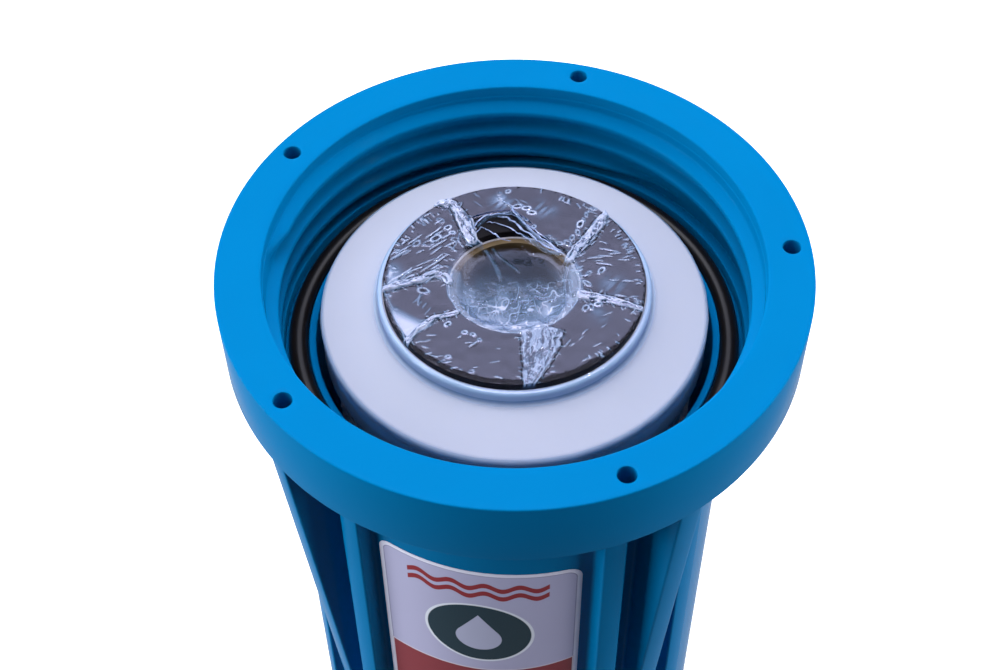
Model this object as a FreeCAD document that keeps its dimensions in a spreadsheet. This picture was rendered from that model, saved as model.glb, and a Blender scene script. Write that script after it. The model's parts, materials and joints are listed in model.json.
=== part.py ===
import FreeCAD, Part
import Sketcher
import os
import re

# Bowl of a cartridge water filter with its carbon cartridge standing inside.
# Millimetres, +Z up, the origin under the middle of the foot, the front towards -Y.
# Every radius is worked out from the carbon block outwards and every height from the
# foot upwards, so the bowl grows with the cartridge that it holds.

SIZES = {
    # carbon block and what is wrapped round it
    "BlockRadius": 55.0,
    "BlockLength": 226.0,
    "CoreBoreRadius": 17.8,
    "CoreWall": 1.8,
    "InnerFleece": 0.8,
    "OuterFleece": 1.2,
    "NettingThickness": 1.2,
    "WrapInset": 1.2,
    # slots in the core tube
    "SlotWidth": 5.0,
    "SlotLength": 12.0,
    "SlotMargin": 16.0,
    "SlotRows": 9,
    "SlotColumns": 6,
    # end caps, their gaskets and the glue under them
    "CapFit": 0.4,
    "CapWall": 2.2,
    "SkirtOverlap": 12.0,
    "CapRounding": 4.5,
    "PlateThickness": 1.4,
    "CrownFall": 2.6,
    "BossHeight": 4.1,
    "BossMargin": 2.5,
    "BossRounding": 0.8,
    "CoreClearance": 0.2,
    "GasketRadius": 39.6,
    "GasketHole": 20.4,
    "GasketThickness": 2.4,
    "GasketRounding": 0.4,
    "GlueThickness": 1.5,
    # shrink film round the cartridge
    "FilmGap": 0.1,
    "FilmThickness": 0.2,
    "FilmDip": 6.0,
    "FilmHem": 14.0,
    # bowl: bore, lip, seal groove and socket
    "BoreClearance": 2.1,
    "BoreDraft": 1.0,
    "LipWidth": 2.2,
    "LipDrop": 0.4,
    "LipFall": 0.9,
    "GrooveWidth": 7.8,
    "GrooveDepth": 4.8,
    "LedgeWidth": 2.8,
    "SocketDepth": 31.2,
    "LeadInDepth": 4.5,
    "LeadInRelief": 0.8,
    "HeadGap": 10.0,
    # bowl: collar and its blind holes
    "CollarWidth": 14.0,
    "CollarHeight": 25.0,
    "RimRounding": 0.8,
    "HoleRadius": 2.8,
    "HoleInset": 6.0,
    "HoleDepth": 15.0,
    "HoleCount": 5,
    "HoleTurn": -68.7,
    # bowl: neck under the collar, wall, fins and tapered ribs
    "NeckWall": 4.8,
    "NeckFloor": 5.0,
    "NeckCone": 12.0,
    "WallThickness": 7.6,
    "PanelCount": 4,
    "PanelTurn": -99.2,
    "FinSpread": 33.0,
    "FinHeight": 6.0,
    "FinWidth": 7.7,
    "FinFoot": 20.0,
    "RibInset": 2.2,
    "RibWidth": 8.0,
    "RibFoot": 37.5,
    # bowl: floor, cartridge seat, spigot and foot
    "FloorThickness": 9.0,
    "FloorRounding": 6.0,
    "SeatRadius": 30.0,
    "SeatWidth": 3.0,
    "SeatRise": 13.0,
    "SpigotClearance": 0.8,
    "SpigotWall": 2.4,
    "SpigotRise": 7.0,
    "SpigotRounding": 1.0,
    "FootHeight": 3.0,
    "FootInset": 6.0,
    "FootWidth": 8.0,
    "BaseRounding": 5.0,
    # seal ring and label
    "RingSection": 6.0,
    "RingStretch": 0.3,
    "LabelTop": 66.0,
    "LabelHeight": 115.0,
    "LabelSpan": 54.4,
    "LabelTurn": -99.7,
    "LabelGlue": 0.1,
    "LabelThickness": 0.2,
}

# Radii, from the axis outwards.
CORE_RADIUS = "(CoreBoreRadius + CoreWall)"
BLOCK_BORE = f"({CORE_RADIUS} + InnerFleece)"
FLEECE_RADIUS = "(BlockRadius + OuterFleece)"
NETTING_RADIUS = f"({FLEECE_RADIUS} + NettingThickness)"
SKIRT_BORE = f"({NETTING_RADIUS} + CapFit)"
CAP_RADIUS = f"({SKIRT_BORE} + CapWall)"
CAP_HOLE = f"({CORE_RADIUS} + CoreClearance)"
BOSS_RADIUS = "(GasketRadius + BossMargin)"
FILM_REACH = "(FilmGap + FilmThickness)"
BORE_RADIUS = f"({CAP_RADIUS} + {FILM_REACH} + BoreClearance)"
LIP_RADIUS = f"({BORE_RADIUS} + LipWidth)"
GROOVE_RADIUS = f"({LIP_RADIUS} + GrooveWidth)"
ROOT_RADIUS = f"({GROOVE_RADIUS} + LedgeWidth)"
NECK_RADIUS = f"({ROOT_RADIUS} + LeadInRelief)"
COLLAR_RADIUS = f"({NECK_RADIUS} + CollarWidth)"
NECK_OUTSIDE = f"({ROOT_RADIUS} + NeckWall)"
WALL_RADIUS = f"({BORE_RADIUS} + WallThickness)"
FIN_RADIUS = f"({WALL_RADIUS} + FinHeight)"
RIB_RADIUS = f"({COLLAR_RADIUS} - RibInset)"
FOOT_RADIUS = f"({WALL_RADIUS} - FootInset)"
SPIGOT_RADIUS = "(CoreBoreRadius - SpigotClearance)"

# Heights, from the foot upwards. PLATE_DEPTH and END_DEPTH are how far the inside of an
# end cap and the end of the carbon block lie behind the gasket's face.
FLOOR = "(FootHeight + FloorThickness)"
SEAT = f"({FLOOR} + SeatRise)"
PLATE_DEPTH = "(GasketThickness + BossHeight + CrownFall + PlateThickness)"
END_DEPTH = f"({PLATE_DEPTH} + GlueThickness)"
BLOCK_FOOT = f"({SEAT} + {END_DEPTH})"
CARTRIDGE_TOP = f"({BLOCK_FOOT} + BlockLength + {END_DEPTH})"
RIM = f"({CARTRIDGE_TOP} + HeadGap)"
COLLAR_FOOT = f"({RIM} - CollarHeight)"
LEDGE = f"({RIM} - SocketDepth)"
GROOVE_FLOOR = f"({LEDGE} - GrooveDepth)"
LIP_TOP = f"({LEDGE} - LipDrop)"
NECK_FOOT = f"({GROOVE_FLOOR} - NeckFloor)"

doc = FreeCAD.newDocument("FilterBowl")
sheet = doc.addObject("Spreadsheet::Sheet", "Sizes")
for row, (alias, value) in enumerate(SIZES.items(), start=1):
    sheet.set(f"A{row}", str(value))
    sheet.setAlias(f"A{row}", alias)
doc.recompute()

subparts = []


def formula(text):
    """The text with every size in it read from the sheet."""
    return re.sub(r"\b([A-Z][A-Za-z]+)\b", r"Sizes.\1", text)


def bind(item, prop, text):
    item.setExpression(prop, formula(text))


def turned_about(axis):
    """A placement turned by one degree, which gives it an axis for an angle to be bound to."""
    return FreeCAD.Placement(FreeCAD.Vector(), FreeCAD.Rotation(axis, 1))


def new_body(label):
    body = doc.addObject("PartDesign::Body", label)
    body.Label = label
    subparts.append(body)
    return body


def origin_feature(body, role):
    return [f for f in body.Origin.OriginFeatures if f.Role == role][0]


def new_sketch(body, name, role):
    sketch = body.newObject("Sketcher::SketchObject", name)
    sketch.AttachmentSupport = [(origin_feature(body, role), "")]
    sketch.MapMode = "FlatFace"
    return sketch


def place_point(sketch, line, across, up):
    """Hold a line's start at the two distances from the sketch's origin."""
    for kind, axis, text in (("DistanceX", -2, across), ("DistanceY", -1, up)):
        if text == "0":
            sketch.addConstraint(Sketcher.Constraint("PointOnObject", line, 1, axis))
        else:
            number = sketch.addConstraint(Sketcher.Constraint(kind, -1, 1, line, 1, 1.0))
            bind(sketch, f"Constraints[{number}]", text)


def draw(body, name, corners, role="XZ_Plane", turn=None):
    """A closed sketch of straight lines. Each corner is a name with its distances across
    and up; turn is the angle by which the sketch is swung round the Z axis."""
    sketch = new_sketch(body, name, role)
    if turn:
        sketch.AttachmentOffset = turned_about(FreeCAD.Vector(0, 1, 0))
        bind(sketch, "AttachmentOffset.Rotation.Angle", turn)
    count = len(corners)
    rough = [FreeCAD.Vector(i + 1, (i + 1) ** 2, 0) for i in range(count)]
    for i in range(count):
        sketch.addGeometry(Part.LineSegment(rough[i], rough[(i + 1) % count]), False)
    for i, (_, across, up) in enumerate(corners):
        sketch.addConstraint(Sketcher.Constraint("Coincident", i - 1 if i else count - 1, 2, i, 1))
        place_point(sketch, i, across, up)
    doc.recompute()
    return sketch


def ring_edge(shape, point):
    """The name of the circular edge that a sketch's point makes when it is turned."""
    for number, edge in enumerate(shape.Edges, start=1):
        curve = edge.Curve
        if isinstance(curve, Part.Circle) and abs(curve.Radius - point.x) < 1e-4:
            if abs(curve.Center.z - point.y) < 1e-4:
                return f"Edge{number}"
    raise RuntimeError(f"no round edge at {point}")


def revolve(body, corners, rounding):
    """Turn a profile round Z, then round the corners that rounding names."""
    sketch = draw(body, body.Label + "_profile", corners)
    solid = body.newObject("PartDesign::Revolution", body.Label + "_turned")
    solid.Profile = sketch
    solid.ReferenceAxis = (sketch, ["V_Axis"])
    solid.Angle = 360
    doc.recompute()
    places = {name: sketch.Geometry[i].StartPoint for i, (name, _, _) in enumerate(corners)}
    for radius, names in rounding.items():
        fillet = body.newObject("PartDesign::Fillet", f"{body.Label}_{names[0]}_rounding")
        fillet.Base = (solid, [ring_edge(solid.Shape, places[name]) for name in names])
        bind(fillet, "Radius", radius)
        doc.recompute()
        solid = fillet
    return solid


def rectangle(inner, outer, low, high):
    return [("inner_low", inner, low), ("outer_low", outer, low),
            ("outer_high", outer, high), ("inner_high", inner, high)]


def upright_pad(body, name, corners, turn, width):
    """A flat fin: its outline stands in a plane through the Z axis."""
    sketch = draw(body, name + "_outline", corners, turn=turn)
    pad = body.newObject("PartDesign::Pad", name)
    pad.Profile = sketch
    pad.SideType = "Symmetric"
    bind(pad, "Length", width)
    doc.recompute()
    return pad


def polar_pattern(body, name, features, count):
    pattern = body.newObject("PartDesign::PolarPattern", name)
    pattern.Originals = features
    pattern.Axis = (origin_feature(body, "Z_Axis"), [""])
    pattern.Angle = 360
    bind(pattern, "Occurrences", count)
    body.Tip = pattern
    doc.recompute()
    return pattern


def make_bowl():
    """The moulded bowl: foot, floor with the cartridge's seat and spigot, drafted bore,
    lip and seal groove, socket for the head and the collar round it."""
    body = new_body("bowl")
    seat_out, seat_in = "(SeatRadius + SeatWidth / 2)", "(SeatRadius - SeatWidth / 2)"
    spigot_top = f"{SEAT} + SpigotRise"
    bore_foot = f"{BORE_RADIUS} - BoreDraft"
    profile = [
        ("base_middle", "0", "FootHeight"),
        ("foot_inside", f"{FOOT_RADIUS} - FootWidth", "FootHeight"),
        ("foot_inner", f"{FOOT_RADIUS} - FootWidth", "0"),
        ("foot_outer", FOOT_RADIUS, "0"),
        ("foot_root", FOOT_RADIUS, "FootHeight"),
        ("base_corner", WALL_RADIUS, "FootHeight"),
        ("cone_low", WALL_RADIUS, f"{NECK_FOOT} - NeckCone"),
        ("cone_high", NECK_OUTSIDE, NECK_FOOT),
        ("collar_root", NECK_OUTSIDE, COLLAR_FOOT),
        ("collar_low", COLLAR_RADIUS, COLLAR_FOOT),
        ("collar_high", COLLAR_RADIUS, RIM),
        ("mouth", NECK_RADIUS, RIM),
        ("lead_in", NECK_RADIUS, f"{RIM} - LeadInDepth"),
        ("root_high", ROOT_RADIUS, f"{RIM} - LeadInDepth"),
        ("root_low", ROOT_RADIUS, LEDGE),
        ("ledge", GROOVE_RADIUS, LEDGE),
        ("groove_outer", GROOVE_RADIUS, GROOVE_FLOOR),
        ("groove_inner", LIP_RADIUS, GROOVE_FLOOR),
        ("lip_outer", LIP_RADIUS, LIP_TOP),
        ("lip_inner", BORE_RADIUS, f"{LIP_TOP} - LipFall"),
        ("floor_corner", bore_foot, FLOOR),
        ("seat_outer_foot", f"{seat_out} + SeatWidth / 2", FLOOR),
        ("seat_outer", seat_out, SEAT),
        ("seat_inner", seat_in, SEAT),
        ("seat_inner_foot", f"{seat_in} - SeatWidth / 2", FLOOR),
        ("spigot_foot", SPIGOT_RADIUS, FLOOR),
        ("spigot_outer", SPIGOT_RADIUS, spigot_top),
        ("spigot_inner", f"{SPIGOT_RADIUS} - SpigotWall", spigot_top),
        ("spigot_well", f"{SPIGOT_RADIUS} - SpigotWall", FLOOR),
        ("floor_middle", "0", FLOOR),
    ]
    revolve(body, profile, {
        "RimRounding": ["collar_high", "collar_low", "mouth"],
        "BaseRounding": ["base_corner"],
        "FloorRounding": ["floor_corner"],
        "SpigotRounding": ["spigot_outer"],
    })

    sunk = f"{WALL_RADIUS} - FinHeight / 4"
    neck_middle = f"{NECK_OUTSIDE} - NeckWall / 2"
    fin = [
        ("root_low", sunk, "FinFoot"),
        ("wall_low", WALL_RADIUS, "FinFoot"),
        ("edge_low", FIN_RADIUS, "FinFoot + FinHeight"),
        ("edge_high", FIN_RADIUS, NECK_FOOT),
        ("root_high", sunk, NECK_FOOT),
    ]
    rib = [
        ("root_low", sunk, "RibFoot"),
        ("edge_low", WALL_RADIUS, "RibFoot"),
        ("edge_high", RIB_RADIUS, COLLAR_FOOT),
        ("neck_high", neck_middle, COLLAR_FOOT),
        ("neck_low", neck_middle, NECK_FOOT),
        ("root_high", sunk, NECK_FOOT),
    ]
    left = upright_pad(body, "left_fin", fin, "PanelTurn - FinSpread", "FinWidth")
    right = upright_pad(body, "right_fin", fin, "PanelTurn + FinSpread", "FinWidth")
    corner = upright_pad(body, "tapered_rib", rib, "PanelTurn + 180 / PanelCount", "RibWidth")
    ribbed = polar_pattern(body, "fins_and_ribs", [left, right, corner], "PanelCount")
    before = ribbed.Shape.Volume

    sketch = new_sketch(body, "hole_circle", "XY_Plane")
    sketch.AttachmentOffset = turned_about(FreeCAD.Vector(0, 0, 1))
    bind(sketch, "AttachmentOffset.Base.z", RIM)
    bind(sketch, "AttachmentOffset.Rotation.Angle", "HoleTurn")
    sketch.addGeometry(Part.Circle(FreeCAD.Vector(80, 0, 0), FreeCAD.Vector(0, 0, 1), 3), False)
    sketch.addConstraint(Sketcher.Constraint("PointOnObject", 0, 3, -1))
    place = sketch.addConstraint(Sketcher.Constraint("DistanceX", -1, 1, 0, 3, 80.0))
    bind(sketch, f"Constraints[{place}]", f"{COLLAR_RADIUS} - HoleInset")
    width = sketch.addConstraint(Sketcher.Constraint("Radius", 0, 3.0))
    bind(sketch, f"Constraints[{width}]", "HoleRadius")
    hole = body.newObject("PartDesign::Pocket", "blind_hole")
    hole.Profile = sketch
    bind(hole, "Length", "HoleDepth")
    doc.recompute()
    drilled = polar_pattern(body, "blind_holes", [hole], "HoleCount")
    if drilled.Shape.Volume >= before:
        raise RuntimeError("the blind holes cut nothing")


def make_bowl_o_ring():
    """Round seal ring lying in the groove against the lip."""
    ring = doc.addObject("Part::Torus", "bowl_o_ring")
    ring.Label = "bowl_o_ring"
    bind(ring, "Radius1", f"{LIP_RADIUS} + RingStretch + RingSection / 2")
    bind(ring, "Radius2", "RingSection / 2")
    bind(ring, "Placement.Base.z", f"{GROOVE_FLOOR} + RingSection / 2")
    subparts.append(ring)


def make_front_label():
    """Printed label stuck to the wall between two fins."""
    skin = doc.addObject("Part::Cylinder", "label_skin")
    core = doc.addObject("Part::Cylinder", "label_core")
    bind(skin, "Radius", f"{WALL_RADIUS} + LabelGlue + LabelThickness")
    bind(core, "Radius", f"{WALL_RADIUS} + LabelGlue")
    for cylinder in (skin, core):
        bind(cylinder, "Height", "LabelHeight")
        bind(cylinder, "Angle", "LabelSpan")
    label = doc.addObject("Part::Cut", "front_label")
    label.Label = "front_label"
    label.Base = skin
    label.Tool = core
    label.Placement = turned_about(FreeCAD.Vector(0, 0, 1))
    bind(label, "Placement.Base.z", f"{RIM} - LabelTop - LabelHeight")
    bind(label, "Placement.Rotation.Angle", "LabelTurn - LabelSpan / 2")
    subparts.append(label)


def from_end(end, depth):
    """The height that lies a depth behind the gasket's face at that end."""
    if end == "top":
        return f"{CARTRIDGE_TOP} - ({depth})"
    return f"{SEAT} + ({depth})"


def make_end(end):
    """End cap, gasket and glue of one end. The two ends are mirror images."""
    boss_foot = "GasketThickness + BossHeight"
    cap = [
        ("boss_hole", CAP_HOLE, from_end(end, "GasketThickness")),
        ("boss_edge", BOSS_RADIUS, from_end(end, "GasketThickness")),
        ("boss_foot", BOSS_RADIUS, from_end(end, boss_foot)),
        ("shoulder", CAP_RADIUS, from_end(end, f"{boss_foot} + CrownFall")),
        ("skirt_end", CAP_RADIUS, from_end(end, f"{END_DEPTH} + SkirtOverlap")),
        ("skirt_inside", SKIRT_BORE, from_end(end, f"{END_DEPTH} + SkirtOverlap")),
        ("plate_corner", SKIRT_BORE, from_end(end, PLATE_DEPTH)),
        ("plate_hole", CAP_HOLE, from_end(end, PLATE_DEPTH)),
    ]
    revolve(new_body(f"{end}_end_cap"), cap, {
        "CapRounding": ["shoulder"],
        "CapRounding - CapWall": ["plate_corner"],
        "BossRounding": ["boss_edge"],
    })

    face, back = from_end(end, "0"), from_end(end, "GasketThickness")
    gasket = rectangle("GasketHole", "GasketRadius", face, back)
    revolve(new_body(f"{end}_gasket"), gasket, {"GasketRounding": ["outer_low", "inner_low"]})

    near, far = from_end(end, PLATE_DEPTH), from_end(end, END_DEPTH)
    revolve(new_body(f"{end}_glue_ring"), rectangle(CAP_HOLE, "BlockRadius", near, far), {})


def make_core_tube():
    """Slotted tube up the middle, from gasket to gasket."""
    body = new_body("core_tube")
    low, high = from_end("bottom", "GasketThickness"), from_end("top", "GasketThickness")
    whole = revolve(body, rectangle("CoreBoreRadius", CORE_RADIUS, low, high), {}).Shape.Volume

    inside, outside = "CoreBoreRadius - CoreWall", f"{CORE_RADIUS} + CoreWall"
    first = f"{BLOCK_FOOT} + SlotMargin"
    outline = draw(body, "slot_outline", rectangle(inside, outside, first, f"{first} + SlotLength"))
    slot = body.newObject("PartDesign::Pocket", "slot")
    slot.Profile = outline
    slot.SideType = "Symmetric"
    bind(slot, "Length", "SlotWidth")
    doc.recompute()

    slots = body.newObject("PartDesign::MultiTransform", "slots")
    rows = body.newObject("PartDesign::LinearPattern", "slot_rows")
    rows.Direction = (origin_feature(body, "Z_Axis"), [""])
    bind(rows, "Length", "BlockLength - 2 * SlotMargin - SlotLength")
    bind(rows, "Occurrences", "SlotRows")
    columns = body.newObject("PartDesign::PolarPattern", "slot_columns")
    columns.Axis = (origin_feature(body, "Z_Axis"), [""])
    columns.Angle = 360
    bind(columns, "Occurrences", "SlotColumns")
    slots.Originals = [slot]
    slots.Transformations = [rows, columns]
    body.Tip = slots
    doc.recompute()
    if slots.Shape.Volume >= whole:
        raise RuntimeError("the slots cut nothing")


def make_sleeve(label, inner, outer, inset):
    """A plain tube round the carbon, as long as the block less the inset at each end."""
    low = from_end("bottom", f"{END_DEPTH} + {inset}")
    high = from_end("top", f"{END_DEPTH} + {inset}")
    revolve(new_body(label), rectangle(inner, outer, low, high), {})


def make_film():
    """Shrink film: over the top gasket, where it dips into the hole, down the cap and the
    sleeve, and turned in as a hem under the bottom cap."""
    gap, far = "FilmGap", FILM_REACH
    boss_foot = "GasketThickness + BossHeight"
    hem_radius = f"{CAP_RADIUS} - FilmHem"
    crown_slope = f"CrownFall / ({CAP_RADIUS} - {BOSS_RADIUS})"
    hem_depth = f"{boss_foot} + {crown_slope} * ({hem_radius} - {BOSS_RADIUS})"

    def layer(side, off):
        """One face of the film, from the dip in the top to the hem, at its offset."""
        return [
            (side + "_dip", "0", from_end("top", f"FilmDip - {off}")),
            (side + "_hole", "GasketHole", from_end("top", f"0 - {off}")),
            (side + "_gasket", f"GasketRadius + {off}", from_end("top", f"0 - {off}")),
            (side + "_boss", f"{BOSS_RADIUS} + {off}", from_end("top", f"GasketThickness - {off}")),
            (side + "_boss_foot", f"{BOSS_RADIUS} + {off}", from_end("top", f"{boss_foot} - {off}")),
            (side + "_shoulder", f"{CAP_RADIUS} + {off}", from_end("top", f"{boss_foot} + CrownFall - {off}")),
            (side + "_turn", f"{CAP_RADIUS} + {off}", from_end("bottom", f"{boss_foot} + CrownFall - {off}")),
            (side + "_hem", hem_radius, from_end("bottom", f"{hem_depth} - {off}")),
        ]

    inner, outer = layer("inner", gap), layer("outer", far)
    revolve(new_body("shrink_film"), inner + outer[::-1], {
        f"CapRounding + {gap}": ["inner_shoulder", "inner_turn"],
        f"CapRounding + {far}": ["outer_shoulder", "outer_turn"],
    })


def export():
    """Check every object and sub-part, then write one STEP file for each node."""
    doc.recompute()
    for item in doc.Objects:
        if "Invalid" in item.State or "Error" in item.State:
            raise RuntimeError(f"{item.Label} did not compute")
    for part in subparts:
        if part.Shape.isNull() or not part.Shape.isValid() or not part.Shape.Solids:
            raise RuntimeError(f"{part.Label} has no sound solid")
    os.makedirs("parts", exist_ok=True)
    for part in subparts:
        part.Shape.exportStep(f"parts/{part.Label}.step")
        print(f"{part.Label}: {part.Shape.Volume / 1000:.2f} cm3")


make_bowl()
make_bowl_o_ring()
make_front_label()
make_end("bottom")
make_end("top")
make_core_tube()
make_sleeve("inner_fleece", CORE_RADIUS, BLOCK_BORE, "WrapInset")
make_sleeve("carbon_block", BLOCK_BORE, "BlockRadius", "0")
make_sleeve("outer_fleece", "BlockRadius", FLEECE_RADIUS, "WrapInset")
make_sleeve("outer_netting", FLEECE_RADIUS, NETTING_RADIUS, "WrapInset")
make_film()
export()
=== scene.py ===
"""Looks of a water filter bowl and its carbon cartridge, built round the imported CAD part.

The bowl is one blue moulding with a threaded socket, a seal ring and a label. The cartridge
stands inside in its shrink film, gathered in six folds over the top gasket, and lifts out.
Lengths are in millimetres until a mesh is made, and bearings are in degrees, clockwise
from the back as seen from above.
"""

import json
import math

import bmesh
import bpy
import numpy as np
from mathutils import Matrix, Vector


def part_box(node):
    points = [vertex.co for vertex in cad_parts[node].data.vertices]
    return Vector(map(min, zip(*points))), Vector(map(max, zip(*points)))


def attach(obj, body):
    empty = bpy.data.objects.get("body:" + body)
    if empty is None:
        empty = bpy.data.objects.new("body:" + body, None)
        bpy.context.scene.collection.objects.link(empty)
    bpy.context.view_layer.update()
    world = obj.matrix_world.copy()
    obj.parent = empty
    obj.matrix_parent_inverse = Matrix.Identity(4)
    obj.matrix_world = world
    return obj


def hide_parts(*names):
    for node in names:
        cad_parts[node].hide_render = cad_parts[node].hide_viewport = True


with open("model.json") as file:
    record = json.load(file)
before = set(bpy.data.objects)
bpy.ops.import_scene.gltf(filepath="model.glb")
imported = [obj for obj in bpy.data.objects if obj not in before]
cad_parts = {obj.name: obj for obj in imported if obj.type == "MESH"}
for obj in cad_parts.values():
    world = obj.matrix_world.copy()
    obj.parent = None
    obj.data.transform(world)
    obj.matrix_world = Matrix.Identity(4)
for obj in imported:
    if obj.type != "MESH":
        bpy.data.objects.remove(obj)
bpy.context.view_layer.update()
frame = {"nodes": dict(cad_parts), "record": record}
mounts = {mount["name"]: mount for mount in frame["record"]["mounts"]}

MM = 0.001


def reach(node):
    """A round node's outer radius, lowest and highest point."""
    low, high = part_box(node)
    return high.x / MM, low.z / MM, high.z / MM


# From the frame: collar, socket mouth, seal, label and the cartridge.
COLLAR_RADIUS, _, RIM = reach("bowl")
MOUTH_RADIUS = mounts["head_socket"]["dims"]["r_mm"]
HOLE_CIRCLE = mounts["collar_holes"]["dims"]["pcd_mm"] / 2
HOLE_RADIUS = mounts["collar_holes"]["dims"]["hole_r_mm"]
HOLE_COUNT = mounts["collar_holes"]["dims"]["count"]
RING_OUTSIDE, RING_LOW, RING_HIGH = reach("bowl_o_ring")
CAP_RADIUS, _, _ = reach("top_end_cap")
GASKET_RADIUS, GASKET_LOW, GASKET_TOP = reach("top_gasket")
_, SEAT, _ = reach("bottom_gasket")
NETTING_RADIUS, NETTING_LOW, NETTING_HIGH = reach("outer_netting")
LABEL_LOW, LABEL_HIGH = (corner.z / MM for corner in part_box("front_label"))

# Bowl, inside, from the axis outwards.
BORE_RADIUS, BORE_DRAFT = 62.4, 1.0
LIP_RADIUS, LIP_TOP, LIP_FALL = 64.6, RIM - 31.6, 0.9
GROOVE_RADIUS, GROOVE_FLOOR = 72.4, RIM - 36.0
ROOT_RADIUS, LEDGE = 75.8, RIM - 31.2
LEAD_IN = 4.0
FLOOR = 12.0
SEAT_RADIUS, SEAT_WIDTH = 30.0, 3.0
SPIGOT_RADIUS, SPIGOT_WALL, SPIGOT_TOP = 17.0, 2.4, SEAT + 7.0

# Bowl, outside.
WALL_RADIUS = 70.0
FOOT_RADIUS, FOOT_WIDTH, FOOT_HEIGHT = 64.0, 8.0, 3.0
NECK_RADIUS, NECK_FOOT, NECK_CONE = 80.0, RIM - 41.0, 12.0
COLLAR_FOOT = RIM - 25.0
PANELS, PANEL_BEARING = 4, 189.2
FIN_SPREAD, FIN_RADIUS, FIN_WIDTH, FIN_FOOT = 33.0, 76.0, 7.7, 20.0
RIB_RADIUS, RIB_WIDTH, RIB_FOOT = COLLAR_RADIUS - 2.2, 8.0, 37.5
ROOT_FILLET, EDGE_ROUNDING = 1.0, 0.7
RIM_ROUNDING, FOOT_ROUNDING, BASE_ROUNDING = 0.5, 0.6, 5.0
HOLE_BEARING, HOLE_DEPTH = 158.7, 15.0

# Thread in the socket: one right-hand ridge, wound clockwise and down.
THREAD_PITCH, THREAD_DEPTH = 8.85, 3.5
CREST_HALF, BASE_HALF = 0.95, 3.3
THREAD_DATUM = RIM - 9.15
THREAD_START, THREAD_END = HOLE_BEARING - 244.0, 766.0
START_TAPER, END_TAPER = 9.0, 25.0
THREAD_FLOOR, THREAD_CEILING = LEDGE + 0.4, RIM - LEAD_IN - 0.25

# Cartridge.
BOSS_RADIUS, BOSS_HEIGHT, CROWN_FALL = 42.1, 4.1, 4.3
PLATE_DEPTH, SKIRT_DEPTH = 4.0, 17.5
BOSS_ROUNDING, BOSS_FILLET, SHOULDER_ROUNDING = 1.7, 1.2, 1.8
CAP_WALL = 2.2
CORE_RADIUS = 19.6
GASKET_SPREAD = 0.6
GASKET_EDGE = GASKET_RADIUS + GASKET_SPREAD
GASKET_HOLE = 20.4

# Shrink film: how far it stands off the gasket, which is also where the sleeve laps the top sheet,
# and off the walls of boss and cap; then the foot of either boss. The sleeve is milky on the crown;
# by the boss and on the shoulder it carries painted bluish shade, the blue bowl's reflection. It clings
# on its tight middle, and more towards its top.
FILM_GAP, WALL_GAP = 0.25, 0.2
TOP_FOOT = GASKET_LOW - BOSS_HEIGHT
BOTTOM_FOOT = SEAT + GASKET_TOP - TOP_FOOT
BOSS_PAINTED_SHADE, CROWN_WHITE, SHOULDER_PAINTED_SHADE = 0.5, 0.18, 0.45
MIDDLE_CLING, TOP_CLING = 0.5, 1.13

# Label on the wall.
LABEL_BEARING, LABEL_SPAN, LABEL_CORNER = 189.7, 54.4, 5.0
LABEL_OUTSIDE, LABEL_THICKNESS = WALL_RADIUS + 0.3, 0.2
LABEL_HALF_WIDE = math.radians(LABEL_SPAN / 2) * LABEL_OUTSIDE
LABEL_HALF_HIGH = (LABEL_HIGH - LABEL_LOW) / 2

# Camera: its distance from the middle of the collar's top, its rise, its turns and its lens.
VIEW_DISTANCE, VIEW_RISE = 0.49359, 48.10
VIEW_PAN, VIEW_TILT = 0.4979, -2.6633
LENS, SENSOR = 59.07, 36.0


# ---------------------------------------------------------------- shapes


def arc(centre, radius, start, end, steps):
    """Points on a circle, from one angle to another in degrees."""
    turn = np.radians(np.linspace(start, end, steps + 1))
    return np.stack([centre[0] + radius * np.cos(turn), centre[1] + radius * np.sin(turn)], -1)


def rounded(corners, steps=4):
    """A profile of straight runs. A corner with a third number is swapped for an arc of that
    radius, which touches both of its runs."""
    points = [np.array(corner[:2], float) for corner in corners]
    outline = []
    for i, corner in enumerate(corners):
        if len(corner) < 3:
            outline.append(points[i][None])
            continue
        into, out = points[i] - points[i - 1], points[i + 1] - points[i]
        into, out = into / np.hypot(*into), out / np.hypot(*out)
        turn = math.atan2(into[0] * out[1] - into[1] * out[0], into @ out)
        side = math.copysign(1.0, turn)
        normal = side * np.array([-into[1], into[0]])
        centre = points[i] - into * corner[2] * abs(math.tan(turn / 2)) + normal * corner[2]
        first = math.degrees(math.atan2(-normal[1], -normal[0]))
        outline.append(arc(centre, corner[2], first, first + math.degrees(turn), steps))
    return np.concatenate(outline)


def swing(radius, bearing, height):
    """Points at a radius and a bearing from the back, clockwise, at a height."""
    turn = np.radians(bearing)
    radius, turn, height = np.broadcast_arrays(radius, turn, height)
    return np.stack([radius * np.sin(turn), radius * np.cos(turn), height], -1)


def turned(profile, bearings):
    """A profile of radius and height swung round the axis through all the bearings."""
    return swing(profile[:, :1], np.asarray(bearings)[None], profile[:, 1:])


def grid_faces(rows, columns, keep=None):
    """The cells of a grid as quads, less those that keep leaves out."""
    index = np.arange(rows * columns).reshape(rows, columns)
    cells = np.stack([index[:-1, :-1], index[:-1, 1:], index[1:, 1:], index[1:, :-1]], -1)
    return cells[keep] if keep is not None else cells.reshape(-1, 4)


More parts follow.
